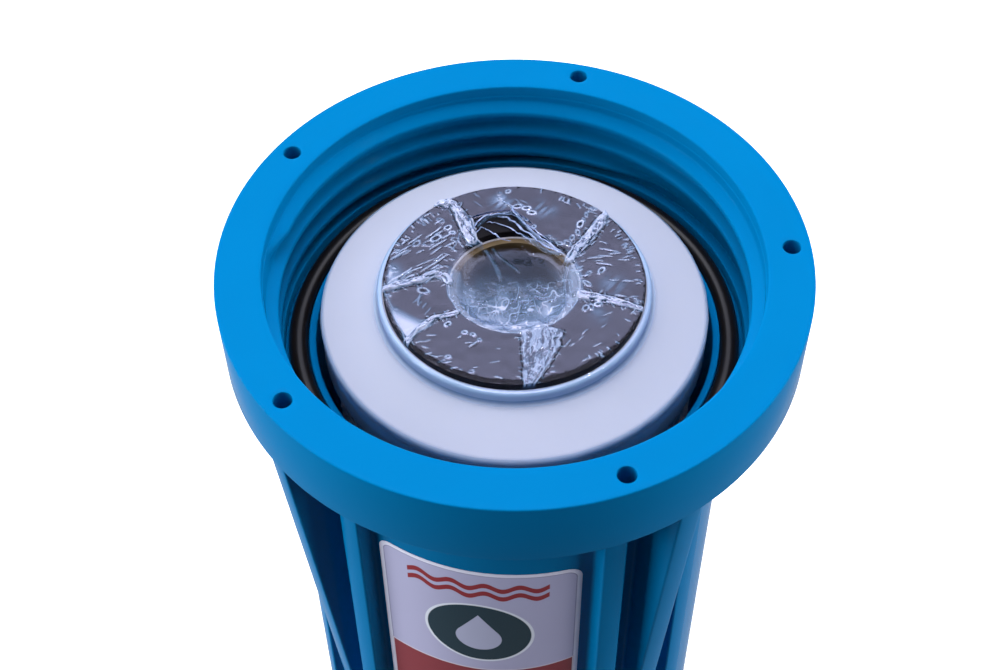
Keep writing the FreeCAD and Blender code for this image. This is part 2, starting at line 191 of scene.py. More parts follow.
def bridge(inner, outer):
    """Triangles between two closed loops round the axis. Both are sorted by bearing, and
    each edge of one goes to the last point of the other before that edge's end."""
    bearings = []
    loops = []
    for loop in (inner, outer):
        bearing = np.arctan2(loop[:, 0], loop[:, 1]) % (2 * np.pi)
        order = np.argsort(bearing)
        loops.append(loop[order])
        bearings.append(bearing[order])
    faces = []
    for this, other, side in ((0, 1, "left"), (1, 0, "right")):
        ends = np.append(bearings[this][1:], bearings[this][0] + 2 * np.pi)
        both = np.append(bearings[other], bearings[other] + 2 * np.pi)
        apex = (np.searchsorted(both, ends, side) - 1) % len(bearings[other])
        first = np.arange(len(ends))
        second = (first + 1) % len(ends)
        shift_this, shift_other = (0, len(inner)) if this == 0 else (len(inner), 0)
        faces.append(np.stack([first + shift_this, second + shift_this, apex + shift_other], -1))
    return np.concatenate(loops), np.concatenate(faces)


def smooth(x):
    """Smooth step from 0 to 1."""
    x = np.clip(x, 0, 1)
    return x * x * (3 - 2 * x)


def ease(x, zero, one):
    """Smooth step that is 0 at one value and 1 at another, which may be the lower one."""
    return smooth((x - zero) / (one - zero))


def put(name, data):
    """A new object in the scene."""
    thing = bpy.data.objects.new(name, data)
    bpy.context.scene.collection.objects.link(thing)
    return thing


def make_piece(name, patches, body, slot, stands_for=(), sharp=35.0, closed=True, **fields):
    """One mesh from patches: a patch is a grid of points, or points with their faces.
    Points that meet are welded. fields gives an attribute's value at each point."""
    points, faces, first = [], [], 0
    for patch in patches:
        if isinstance(patch, tuple):
            part, cells = patch
        else:
            part, cells = patch.reshape(-1, 3), grid_faces(*patch.shape[:2])
        points.append(part)
        faces.extend((cells + first).tolist())
        first += len(part)
    mesh = bpy.data.meshes.new(name)
    mesh.from_pydata((np.concatenate(points) * MM).tolist(), [], faces)
    for field, values in fields.items():
        attribute = mesh.attributes.new(field, "FLOAT", "POINT")
        attribute.data.foreach_set("value", np.asarray(values, np.float32).ravel())
    work = bmesh.new()
    work.from_mesh(mesh)
    bmesh.ops.remove_doubles(work, verts=work.verts, dist=2e-6)
    loose = [point for point in work.verts if not point.link_faces]
    bmesh.ops.delete(work, geom=loose, context="VERTS")
    if closed and work.calc_volume(signed=True) < 0:
        bmesh.ops.reverse_faces(work, faces=work.faces)
    work.to_mesh(mesh)
    work.free()
    mesh.shade_smooth()
    mesh.set_sharp_from_angle(angle=math.radians(sharp))
    piece = put(name, mesh)
    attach(piece, body)
    if stands_for:
        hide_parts(*stands_for)
    mesh.materials.append(MATERIALS[slot])


# ---------------------------------------------------------------- bowl


def rib_section(wall, height, width):
    """Across one rib, row by row: a root fillet, a straight side and a rounded edge, up to
    the middle, then the same mirrored. Gives radius and bearing from the rib's middle."""
    width = width * np.minimum(wall / WALL_RADIUS, 1)
    share = np.clip(height / (ROOT_FILLET + EDGE_ROUNDING), 0, 1)
    fillet, edge = ROOT_FILLET * share, EDGE_ROUNDING * share
    turn = np.radians(np.linspace(0, 90, 4))[None]
    across = np.concatenate([width / 2 + fillet * (1 - np.sin(turn)),
                             width / 2 - edge * (1 - np.cos(turn)), 0 * height], 1)
    up = np.concatenate([fillet * (1 - np.cos(turn)), height - edge * (1 - np.sin(turn)), height], 1)
    across = np.concatenate([-across, across[:, -2::-1]], 1)
    up = np.concatenate([up, up[:, -2::-1]], 1)
    out = np.sqrt(wall**2 - across**2) + up
    return np.hypot(out, across), np.degrees(np.arctan2(across, out))


def bowl_outside():
    """From the middle of the base over the foot, the ribbed wall and the neck to the
    collar's foot. Between ribs the wall is round, with evenly spread columns."""
    fin_height = FIN_RADIUS - WALL_RADIUS
    fin_rows = (0, EDGE_ROUNDING, fin_height / 2, fin_height - EDGE_ROUNDING, fin_height,
                fin_height + EDGE_ROUNDING)
    wall_rows = [FIN_FOOT + row for row in fin_rows] + [RIB_FOOT]
    wall_rows += list(np.linspace(RIB_FOOT + 12, NECK_FOOT - NECK_CONE, 16))
    neck_rows = [(NECK_RADIUS - (NECK_RADIUS - WALL_RADIUS) * s, NECK_FOOT - NECK_CONE * s)
                 for s in (0.8, 0.6, 0.4, 0.2)]
    foot_inside = FOOT_RADIUS - FOOT_WIDTH
    foot = [(foot_inside, FOOT_HEIGHT), (foot_inside, 0), (FOOT_RADIUS, 0), (FOOT_RADIUS, FOOT_HEIGHT)]
    profile = rounded([(0, FOOT_HEIGHT)] + [corner + (FOOT_ROUNDING,) for corner in foot]
                      + [(WALL_RADIUS, FOOT_HEIGHT, BASE_ROUNDING)]
                      + [(WALL_RADIUS, row) for row in wall_rows] + neck_rows
                      + [(NECK_RADIUS, NECK_FOOT), (NECK_RADIUS, COLLAR_FOOT)])
    wall, height = profile[:, :1], profile[:, 1:]
    fin_top = WALL_RADIUS + np.clip(height - FIN_FOOT, 0, fin_height)
    rib_slope = (RIB_RADIUS - WALL_RADIUS) / (COLLAR_FOOT - RIB_FOOT)
    rib_top = WALL_RADIUS + rib_slope * np.clip(height - RIB_FOOT, 0, None)
    standing = height > FOOT_HEIGHT + BASE_ROUNDING + 1
    fin = rib_section(wall, np.clip(fin_top - wall, 0, None) * standing, FIN_WIDTH)
    rib = rib_section(wall, np.clip(rib_top - wall, 0, None) * standing, RIB_WIDTH)

    radii, bearings = [], []
    half, column = 180 / PANELS, 1.5
    for panel in range(PANELS):
        middle = PANEL_BEARING + 2 * half * panel
        for turn, (radius, bearing) in ((-FIN_SPREAD, fin), (FIN_SPREAD, fin), (half, rib)):
            radii.append(radius)
            bearings.append(bearing + middle + turn)
    radii.append(radii[0])
    bearings.append(bearings[0] + 360)
    ring_radius, ring_bearing = [], []
    for i in range(len(radii) - 1):
        last, following = bearings[i][:, -1:], bearings[i + 1][:, :1]
        steps = max(int((following - last)[-1, 0] / column), 2)
        share = np.arange(1, steps)[None] / steps
        ring_radius += [radii[i], np.repeat(wall, steps - 1, 1)]
        ring_bearing += [bearings[i], last + (following - last) * share]
    ring_radius.append(radii[0][:, :1])
    ring_bearing.append(bearings[0][:, :1] + 360)
    return swing(np.concatenate(ring_radius, 1), np.concatenate(ring_bearing, 1), height)


def top_face(bearings):
    """The collar's flat top, from its outer to its inner rounding. Round each blind hole a
    block of cells is left out, and rings run from the block's edge to the hole, down its
    wall and over its floor."""
    outer, inner = COLLAR_RADIUS - RIM_ROUNDING, MOUTH_RADIUS + RIM_ROUNDING
    block_reach, block_rows, block_half, flare = 4.3, 6, 4, 0.3
    block = HOLE_CIRCLE + np.linspace(block_reach, -block_reach, block_rows + 1)
    radii = np.concatenate([[outer], block, [MOUTH_RADIUS + 2.2, inner]])
    flat = swing(radii[:, None], bearings[None], RIM)
    keep = np.ones((len(radii) - 1, len(bearings) - 1), bool)
    patches = []
    for hole in range(HOLE_COUNT):
        bearing = HOLE_BEARING - hole * 360 / HOLE_COUNT
        middle = int(round((bearing - THREAD_START) % 360))
        west, east, near, far = middle - block_half, middle + block_half, 1, 1 + block_rows
        keep[near:far, west:east] = False
        edge = np.concatenate([flat[near, west:east], flat[near:far, east],
                               flat[far, east:west:-1], flat[far:near - 1:-1, west]])
        centre = swing(HOLE_CIRCLE, bearing, RIM)
        way = edge - centre
        way /= np.linalg.norm(way, axis=1, keepdims=True)
        rings = [edge, centre + (edge - centre) * 0.5 + way * (HOLE_RADIUS + flare) * 0.5]
        wall = ((flare, 0), (0.3 * flare, 0.3 * flare), (0, flare), (0, HOLE_DEPTH / 3), (0, HOLE_DEPTH))
        for radius, drop in wall:
            rings.append(centre + way * (HOLE_RADIUS + radius) - [0, 0, drop])
        rings.append(centre + way * 0 - [0, 0, HOLE_DEPTH])
        patches.append(np.array(rings))
    return [(flat.reshape(-1, 3), grid_faces(*flat.shape[:2], keep))] + patches


def thread(bearings):
    """The threaded wall. Every column follows the helix: height is the ridge's centre line
    plus an offset, and a flank rises by the soft-cornered ramp from base to crest. At its
    start the ridge shrinks towards its lower edge, and at its end towards its middle."""
    corner = 0.18
    climb = np.array([-corner, -corner / 3, corner / 3, corner, 0.5,
                      1 - corner, 1 - corner / 3, 1 + corner / 3, 1 + corner])

    def ramp(x):
        return (np.maximum(x + corner, 0) ** 2 - np.maximum(x - corner, 0) ** 2) / (4 * corner)

    rise = ramp(climb) - ramp(climb - 1)
    flank = BASE_HALF - climb * (BASE_HALF - CREST_HALF)
    offset = np.concatenate([flank, [0], -flank[::-1]])
    depth = THREAD_DEPTH * np.concatenate([rise, [1], rise[::-1]])
    radius_rows, height_rows = [], []
    for turn in range(-1, 4):
        unrolled = np.asarray(bearings) + 360 * turn
        centre = THREAD_DATUM - THREAD_PITCH * unrolled / 360
        start = np.clip((unrolled - THREAD_START) / START_TAPER, 0, 1)[None]
        end = smooth((THREAD_END - unrolled) / END_TAPER)[None]
        shape = offset[:, None] * end
        height_rows += [centre[None] + THREAD_PITCH / 2, centre + shape]
        ridge = ROOT_RADIUS - depth[:, None] * start * end
        radius_rows += [np.full((1, len(bearings)), ROOT_RADIUS), ridge]
    height = np.concatenate(height_rows + [height_rows[-1][:1] * 0])
    height = np.clip(height, THREAD_FLOOR, THREAD_CEILING)
    radius = np.concatenate(radius_rows + [radius_rows[0]])
    return swing(radius, np.asarray(bearings)[None], height)


def make_bowl():
    """The whole moulding as one closed skin."""
    bearings = THREAD_START + np.arange(361.0)
    outside = bowl_outside()
    collar_edge = COLLAR_RADIUS - RIM_ROUNDING
    outline = outside[-1, :-1]
    spread = outline * [1, 1, 0]
    spread = spread / np.linalg.norm(spread, axis=1, keepdims=True) * (RIB_RADIUS + 0.5)
    spread[:, 2] = COLLAR_FOOT
    under = np.stack([outside[-1], np.concatenate([spread, spread[:1]])])
    foot_edge = swing(collar_edge, bearings[:-1], COLLAR_FOOT)
    side = rounded([(collar_edge, COLLAR_FOOT), (COLLAR_RADIUS, COLLAR_FOOT, RIM_ROUNDING),
                    (COLLAR_RADIUS, RIM, RIM_ROUNDING), (collar_edge, RIM)], 5)
    mouth = rounded([(MOUTH_RADIUS + RIM_ROUNDING, RIM), (MOUTH_RADIUS, RIM, RIM_ROUNDING),
                     (MOUTH_RADIUS, RIM - LEAD_IN + 0.3, 0.1), (ROOT_RADIUS, RIM - LEAD_IN - 0.2, 0.05),
                     (ROOT_RADIUS, THREAD_CEILING)], 4)
    bore_foot = BORE_RADIUS - BORE_DRAFT
    seat_out, seat_in = SEAT_RADIUS + SEAT_WIDTH / 2, SEAT_RADIUS - SEAT_WIDTH / 2
    spigot_bore = SPIGOT_RADIUS - SPIGOT_WALL
    inside = rounded([(ROOT_RADIUS, THREAD_FLOOR), (ROOT_RADIUS, LEDGE, 0.3), (GROOVE_RADIUS, LEDGE, 0.5),
                      (GROOVE_RADIUS, GROOVE_FLOOR, 0.8), (LIP_RADIUS, GROOVE_FLOOR, 0.8),
                      (LIP_RADIUS, LIP_TOP, 0.5), (BORE_RADIUS, LIP_TOP - LIP_FALL, 0.5),
                      (BORE_RADIUS - 0.3 * BORE_DRAFT, 180), (BORE_RADIUS - 0.7 * BORE_DRAFT, 80),
                      (bore_foot, FLOOR, 6.0), (seat_out + SEAT_WIDTH / 2, FLOOR, 0.6),
                      (seat_out, SEAT, 0.5), (seat_in, SEAT, 0.5),
                      (seat_in - SEAT_WIDTH / 2, FLOOR, 0.6), (SPIGOT_RADIUS, FLOOR, 0.6),
                      (SPIGOT_RADIUS, SPIGOT_TOP, 1.0), (spigot_bore, SPIGOT_TOP, 0.4),
                      (spigot_bore, FLOOR, 0.6), (0, FLOOR)])
    patches = [outside, under, bridge(under[1, :-1], foot_edge), turned(side, bearings)]
    patches += top_face(bearings) + [turned(mouth, bearings), thread(bearings), turned(inside, bearings)]
    make_piece("bowl_moulding", patches, "bowl", "moulded_bowl", ["bowl"])


def make_seal():
    """The seal ring: a circle carried round its groove, a little uneven as rubber lies."""
    section = (RING_HIGH - RING_LOW) / 2
    bearings, around = np.linspace(0, 360, 241), np.radians(np.linspace(0, 360, 33))
    wander = 0.12 * np.sin(np.radians(3 * bearings + 40)) + 0.08 * np.sin(np.radians(7 * bearings))
    radius = RING_OUTSIDE - section + section * np.cos(around)[:, None] - 0.1 + wander[None]
    height = RING_LOW + section + section * np.sin(around)[:, None] + 0 * bearings[None]
    make_piece("seal_ring", [swing(radius, bearings[None], height)], "bowl", "seal_rubber", ["bowl_o_ring"])


# ---------------------------------------------------------------- cartridge


def make_end(end):
    """End cap and gasket of one end, turned from their rounded profiles."""
    face = GASKET_TOP if end == "top" else SEAT
    way = -1 if end == "top" else 1
    bearings = np.linspace(0, 360, 241)
    gasket = GASKET_TOP - GASKET_LOW
    foot = gasket + BOSS_HEIGHT
    skirt, plate = foot + SKIRT_DEPTH, foot + PLATE_DEPTH
    bore = CORE_RADIUS + 0.2

    def from_face(corners):
        """A profile given by radius and depth under the gasket's face."""
        return rounded(corners, 6) * [1, way] + [0, face]

    cap = from_face([(bore, gasket + 6), (bore, gasket, 0.3), (BOSS_RADIUS, gasket, BOSS_ROUNDING),
                     (BOSS_RADIUS, foot, BOSS_FILLET), (CAP_RADIUS, foot + CROWN_FALL, SHOULDER_ROUNDING),
                     (CAP_RADIUS, skirt, 0.4), (CAP_RADIUS - CAP_WALL, skirt, 0.4),
                     (CAP_RADIUS - CAP_WALL, plate, 1.5), (bore, plate), (bore, gasket + 6)])
    make_piece(f"{end}_cap", [turned(cap, bearings)], "cartridge", "end_cap", [f"{end}_end_cap"])
    ring = from_face([(GASKET_HOLE, gasket / 2), (GASKET_HOLE, 0, 0.4), (GASKET_EDGE, 0, 0.4),
                      (GASKET_EDGE, gasket), (GASKET_HOLE, gasket), (GASKET_HOLE, gasket / 2)])
    make_piece(f"{end}_seal", [turned(ring, bearings)], "cartridge", "gasket_rubber", [f"{end}_gasket"])


def make_netting():
    """Extruded netting: two families of round strands wound left and right on a tube."""
    strands, turns, steps, sides = 44, 0.55, 72, 5
    strand, crossing = 0.45, 0.25
    along = np.pad(np.linspace(0, 1, steps), 1, "edge")[:, None]
    thick = np.pad(np.full(steps, strand), 1)[:, None]
    around = np.linspace(0, 2 * np.pi, sides + 1)[None]
    patches = []
    for hand, layer in ((1, -crossing), (-1, 0.0)):
        for number in range(strands):
            bearing = 360 * (number / strands + hand * turns * along)
            radius = NETTING_RADIUS - strand + layer + thick * np.cos(around)
            height = NETTING_LOW + strand + (NETTING_HIGH - NETTING_LOW - 2 * strand) * along
            aside = np.degrees(thick * np.sin(around) / NETTING_RADIUS)
            patches.append(swing(radius, bearing + aside, height + 0 * around))
    make_piece("netting_sleeve", patches, "cartridge", "netting", ["outer_netting"])


# ---------------------------------------------------------------- shrink film

# Eight layers of random numbers on a lattice, which all noise is blended from.
GRAIN = np.random.default_rng(4).random((8, 64, 64))


def grain(x, y, layer):
    """Value noise from 0 to 1: a lattice of random numbers, smoothly blended."""
    column, row = np.floor(x), np.floor(y)
    across, up = smooth(x - column), smooth(y - row)
    column, row = column.astype(int) % 64, row.astype(int) % 64
    beside, above = (column + 1) % 64, (row + 1) % 64
    sheet = GRAIN[layer]
    low = sheet[row, column] * (1 - across) + sheet[row, beside] * across
    high = sheet[above, column] * (1 - across) + sheet[above, beside] * across
    return low * (1 - up) + high * up


def ridges(noise):
    """Sharp ridges along the middle level of some noise."""
    return 1 - 2 * np.abs(noise - 0.5)


def crumple(x, y, size, layer):
    """Sharp creases of a given spacing, from two layers of noise."""
    first = ridges(grain(x / size + 11, y / size + 5, layer))
    second = ridges(grain(y / size * 1.3 + 3, x / size * 1.3 + 27, layer + 1))
    return np.maximum(first, second)


def streaks(x, y, lean, length, width, layer):
    """Noise drawn out along a direction, lean degrees from the right."""
    turn = math.radians(lean)
    along = x * math.cos(turn) + y * math.sin(turn)
    across = y * math.cos(turn) - x * math.sin(turn)
    return grain(along / length + 31, across / width + 17, layer)


def place(bearing, radius):
    """East and north of a point given by bearing and radius."""
    return radius * np.array([math.sin(math.radians(bearing)), math.cos(math.radians(bearing))])


def near_path(path, x, y):
    """Distance to a path of bearings and radii, the signed distance across it, the length
    gone by and the path's whole length."""
    knots = np.array([place(*knot) for knot in path])
    steps = np.diff(knots, axis=0)
    lengths = np.hypot(*steps.T)
    before = np.concatenate([[0], np.cumsum(lengths)])
    nearest, across, gone = np.full(x.shape, 1e9), np.zeros(x.shape), np.zeros(x.shape)
    for knot, step, length, start in zip(knots, steps, lengths, before):
        dx, dy = x - knot[0], y - knot[1]
        along = np.clip((dx * step[0] + dy * step[1]) / length**2, 0, 1)
        distance = np.hypot(dx - along * step[0], dy - along * step[1])
        closer = distance < nearest
        nearest = np.where(closer, distance, nearest)
        across = np.where(closer, distance * np.sign(dx * step[1] - dy * step[0]), across)
        gone = np.where(closer, start + along * length, gone)
    return nearest, across, gone, before[-1]


# Gathered folds, from the hole outwards: path, half-width at the hole, at three quarters and at
# the rim, height, and whiteness.
FOLDS = [
    ([(-34, 19.0), (-35, 22.0), (-33.5, 28.5), (-31.5, 34.0), (-32, 37.5), (-36, 41.0)],
     (3.1, 1.3, 2.3), 1.6, 0.9),
    ([(67, 17.8), (57, 23.1), (53, 28.7), (49, 34.5), (46, 40.6)], (1.5, 1.7, 1.0), 1.5, 0.8),
    ([(107, 19.2), (106, 24.4), (105, 30.0), (106, 36.0), (107, 41.2)], (1.9, 0.9, 0.6), 1.1, 0.85),
    ([(157.5, 20.0), (162, 25.8), (169, 33.2), (174.5, 41.0)], (7.0, 3.1, 1.2), 0.7, 0.6),
    ([(-128, 20.6), (-124, 25.4), (-122, 28.7), (-124, 35.0), (-128, 41.5)], (0.6, 0.8, 1.0), 0.9, 0.8),
    ([(-96, 19.3), (-86, 21.0), (-84, 24.5), (-90, 28.8), (-93, 35.5), (-96, 41.2)],
     (1.1, 1.4, 1.0), 1.2, 0.8),
]

# Long creases, whose white line is milky crease and painted highlight: path, half-width, height,
# whiteness.
CREASES = [
    ([(-32, 23.9), (-26, 25.5), (-18, 26.7), (-8, 26.8), (-1, 27.0), (6, 24.5)], 0.4, 0.5, 0.4),
    ([(-9, 35.5), (-2, 30.6), (5, 24.3), (17, 20.3), (32, 18.3), (52, 18.9)], 0.5, 1.0, 0.5),
    ([(-5, 25.9), (3, 21.8), (19, 18.0), (38, 16.7), (54, 18.4)], 0.5, 1.0, 0.45),
    ([(66, 18.0), (81, 15.6), (103, 16.1), (121, 18.2), (133, 19.0)], 0.45, 0.6, 0.5),
    ([(-96, 40.0), (-108, 38.3), (-118, 38.6), (-127, 40.3)], 0.35, 0.5, 0.5),
    ([(-43, 21.5), (-41, 26.0), (-47, 24.0), (-59, 22.7)], 0.3, 0.4, 0.5),
    ([(-31, 19.5), (-31, 15.0), (-38, 9.0), (-75, 4.0)], 0.9, 0.2, 0.24),
    ([(-24, 19.5), (-20, 14.0), (-10, 9.0), (25, 5.0)], 0.6, 0.2, 0.2),
]

# Zigzag creases in the hole, whose white is painted glints: first and last place, how many swings
# and how wide they are, height and whiteness.
ZIGZAGS = [
    ((-172, 6.5), (122, 13.0), 5, 2.4, 0.3, 0.5),
    ((-118, 17.6), (180, 15.8), 5, 1.0, 0.35, 0.55),
    ((180, 15.8), (122, 17.0), 4, 0.9, 0.35, 0.55),
]
ZIGZAG_WIDTH = 0.3

# Rows of little blisters: first and last place, how many, length and width.
BLISTERS = [
    ((-46, 25.0), (-42, 33.6), 4, 2.5, 1.6), ((-55, 29.5), (-63, 33.4), 3, 2.8, 1.7),
    ((2, 31.5), (11, 28.8), 3, 3.2, 1.9), ((7, 25.6), (17, 22.4), 2, 2.2, 1.3),
    ((30, 20.4), (43, 20.6), 3, 2.2, 1.3), ((48, 23.3), (39, 38.4), 7, 2.3, 1.3),
    ((84, 23.3), (82, 27.4), 2, 3.0, 1.5), ((92, 21.4), (76, 19.8), 3, 2.4, 1.1),
    ((119, 23.6), (112, 28.0), 3, 1.8, 1.2), ((-97, 27.8), (-97, 27.8), 1, 3.4, 2.1),
    ((-145, 25.0), (-156, 25.4), 3, 1.4, 1.0), ((-130, 26.4), (-130, 26.4), 1, 2.8, 1.9),
    ((-7, 36.9), (-3, 36.9), 2, 1.3, 1.0), ((-145, 35.9), (-160, 37.8), 2, 1.4, 1.0),
]

# Short wrinkles: how many, between which bearings and radii, their lean from the right or None
# for along the radius, their length and their strength.
WRINKLES = [
    (36, (-92, -44), (23.5, 39.0), (30, 48), (3.0, 8.0), 1.0),
    (7, (-126, -100), (24.0, 37.0), (35, 70), (2.0, 5.0), 0.5),
    (14, (60, 103), (22.5, 38.0), (-14, 8), (3.0, 7.0), 0.8),
    (8, (112, 150), (24.0, 37.5), (15, 50), (1.5, 4.0), 0.5),
    (9, (182, 232), (24.0, 38.0), (-10, 40), (1.5, 4.0), 0.6),
    (9, (-26, 44), (28.5, 38.5), (-55, -25), (2.0, 5.0), 0.5),
    (54, (12, 146), (37.0, 39.2), None, (1.0, 2.6), 0.8),
    (34, (-116, -36), (36.6, 39.2), None, (1.0, 2.8), 0.8),
    (16, (150, 240), (37.0, 38.4), (-30, 30), (1.0, 3.0), 0.7),
    (12, (-92, -46), (20.8, 24.0), None, (1.2, 3.0), 0.8),
    (14, (62, 102), (18.5, 23.0), None, (1.2, 3.0), 0.8),
]

# Painted glints, spots of painted reflection: east, north, how far they reach and their whiteness.
PAINTED_GLINTS = [(-4, 33, 2.6, 0.6), (9.5, 30, 3.0, 0.36), (30, -2.0, 3.4, 0.24), (25, -14, 2.4, 0.3)]

# How high, white and clinging each kind of mark is at its strongest, how wide its edges are, and
# the sag over the hole: depth, radius, how far its back edge is set back and the lip there. The
# white of wrinkles, blisters and fold edges is milky crease and painted highlight, the patch by
# the rim is a painted reflection, and the clinging of wrinkles, blisters and the bands beside
# folds takes the mirror away as painted shade.
WRINKLE_RISE, WRINKLE_WHITE, WRINKLE_PAINTED_SHADE = 0.20, 0.75, 0.9
BLISTER_RISE, BLISTER_SWELL, BLISTER_WHITE, BLISTER_PAINTED_SHADE = 0.2, 0.1, 0.95, 0.85
BLISTER_EDGE, FOLD_EDGE, GUTTER_SHADE_WIDTH = 0.22, 0.26, 0.3
PAINTED_REFLECTION_WHITE, GLEAM_WHITE, STRAND_WHITE = 0.8, 0.55, 0.42
SAG_DEPTH, SAG_RADIUS, LIP_SETBACK, LIP_HEIGHT = 2.2, 20.6, 6.6, 1.6


def all_wrinkles():
    """Middle, direction, half-length, half-width and strength of every short wrinkle: the
    scattered ones, and those that stand off both sides of each fold."""
    dice = np.random.default_rng(11)
    found = []
    for count, bearings, radii, leans, lengths, strength in WRINKLES:
        for _ in range(count):
            bearing = dice.uniform(*bearings)
            lean = 90 - bearing if leans is None else dice.uniform(*leans)
            found.append((place(bearing, dice.uniform(*radii)), lean + dice.normal(0, 6),
                          dice.uniform(*lengths) / 2, dice.uniform(0.26, 0.42),
                          strength * dice.uniform(0.5, 1.0)))
    for path, (inner, waist, outer), _, _ in FOLDS:
        knots = np.array([place(*knot) for knot in path])
        for share in np.arange(0.1, 0.95, 0.08):
            at = (share + dice.uniform(-0.04, 0.04)) * (len(knots) - 1)
            knot, step = knots[int(at)], knots[int(at) + 1] - knots[int(at)]
            aside = np.array([-step[1], step[0]]) / np.hypot(*step)
            width = np.interp(share, (0, 0.75, 1), (inner, waist, outer))
            for side in (-1, 1):
                off = side * (width + dice.uniform(0.5, 1.0)) * aside
                lean = math.degrees(math.atan2(off[1], off[0])) + dice.normal(0, 32)
                found.append((knot + step * (at % 1) + off, lean, dice.uniform(0.4, 1.4),
                              dice.uniform(0.2, 0.34), dice.uniform(0.15, 0.8)))
    return found


def oval(x, y, middle, lean, half_length, half_width):
    """Distances along and across an oval, as shares of its halves."""
    lean = math.radians(lean)
    dx, dy = x - middle[0], y - middle[1]
    return ((dx * math.cos(lean) + dy * math.sin(lean)) / half_length,
            (dy * math.cos(lean) - dx * math.sin(lean)) / half_width)


def all_blisters():
    """Middle, lean, half-length, half-width and strength of every blister, unevenly set in
    its row."""
    dice = np.random.default_rng(5)
    found = []
    for first, last, count, length, width in BLISTERS:
        begin, end = place(*first), place(*last)
        lean = math.degrees(math.atan2(*(end - begin)[::-1])) + 40 if count > 1 else 0
        for number in range(count):
            at = begin + (end - begin) * (number / max(count - 1, 1)) + dice.normal(0, 0.45, 2)
            scale = dice.uniform(0.6, 1.3)
            found.append((at, lean + dice.normal(0, 30), length * scale / 2, width * scale / 2,
                          dice.uniform(0.35, 1)))
    return found


def zigzag(first, last, turns, swing_out):
    """A path that swings from side to side on its way between two places."""
    begin, end = place(*first), place(*last)
    aside = np.array([begin[1] - end[1], end[0] - begin[0]]) / np.hypot(*(end - begin))
    share = np.linspace(0, 1, turns * 6 + 1)
    wave = np.sin(share * turns * math.pi) * swing_out * (0.6 + 0.8 * grain(share * 7 + 3, share * 0, 5))
    knots = begin + (end - begin) * share[:, None] + aside * wave[:, None]
    return [(math.degrees(math.atan2(*knot)), math.hypot(*knot)) for knot in knots]


def lift(layer, value, where=...):
    """Raise a layer to a value wherever it is lower."""
    layer[where] = np.maximum(layer[where], value)


def draw_wrinkles(x, y, height, white, cling):
    """Short wrinkles, each with a white back, milky crease and painted highlight, and a dark side,
    painted shade where the mirror is taken away.
    """
    for middle, lean, half_length, half_width, strength in all_wrinkles():
        near = np.nonzero(np.abs(x - middle[0]) + np.abs(y - middle[1]) < 1.5 * half_length + 2)
        along, across = oval(x[near], y[near], middle, lean, half_length, half_width)
        bend = 0.8 * (grain(along * 1.5 + middle[0], along * 0 + middle[1], 3) - 0.5)
        taper = np.sqrt(np.clip(1 - along**2, 0, 1)) + 1e-6
        back, dark = (smooth((1 - np.abs(across + bend + off) / taper) * 1.5) for off in (0, 1.7))
        height[near] += WRINKLE_RISE * strength * back
        lift(white, WRINKLE_WHITE * strength * back, near)
        lift(cling, WRINKLE_PAINTED_SHADE * strength * dark, near)


def draw_blisters(x, y, height, white, cling):
    """Little blisters with a broken white edge, painted highlight, and a dark middle, painted
    shade where the mirror is taken away.
    """
    for middle, lean, half_length, half_width, strength in all_blisters():
        near = np.nonzero(np.abs(x - middle[0]) + np.abs(y - middle[1]) < 6)
        ring = np.hypot(*oval(x[near], y[near], middle, lean, half_length, half_width))
        ring *= 1 + 0.3 * (grain(x[near] / 1.1, y[near] / 1.1, 7) - 0.5)
        edge = np.exp(-(((ring - 1) * half_width / BLISTER_EDGE) ** 2))
        patchy = smooth(0.4 + grain(x[near] / 0.9 + 4, y[near] / 0.9, 3))
        height[near] += BLISTER_RISE * edge + BLISTER_SWELL * smooth(1 - ring)
        lift(white, BLISTER_WHITE * strength * edge * patchy, near)
        lift(cling, BLISTER_PAINTED_SHADE * strength * ease(ring, 0.75, 0.5), near)


def draw_patches(x, y, white):
    """Painted reflections in white: a bright patch by the rim and a gleam at the left, and the
    painted glints.
    """
    radius, bearing = np.hypot(x, y), np.degrees(np.arctan2(x, y))
    painted_reflection = ease(bearing, -94, -116) * ease(bearing, -126.5, -125) * ease(radius, 39.5, 38.5)
    painted_reflection *= ease(radius - 0.4 * (bearing + 96), 40.2, 45.2)
    gleam = ease(bearing, -77, -87) * ease(bearing, -94, -91)
    gleam *= ease(radius, 33, 38) * ease(radius, 39.2, 38.2)
    lift(white, PAINTED_REFLECTION_WHITE * painted_reflection)
    lift(white, GLEAM_WHITE * gleam * (0.5 + grain(x, y / 2.5, 6)))
    for east, north, size, share in PAINTED_GLINTS:
        spot = np.exp(-((x - east) ** 2 + (y - north) ** 2) / size**2)
        lift(white, share * spot * smooth(2.2 * streaks(x, y, 50, 4, 1.0, 2) - 0.5))


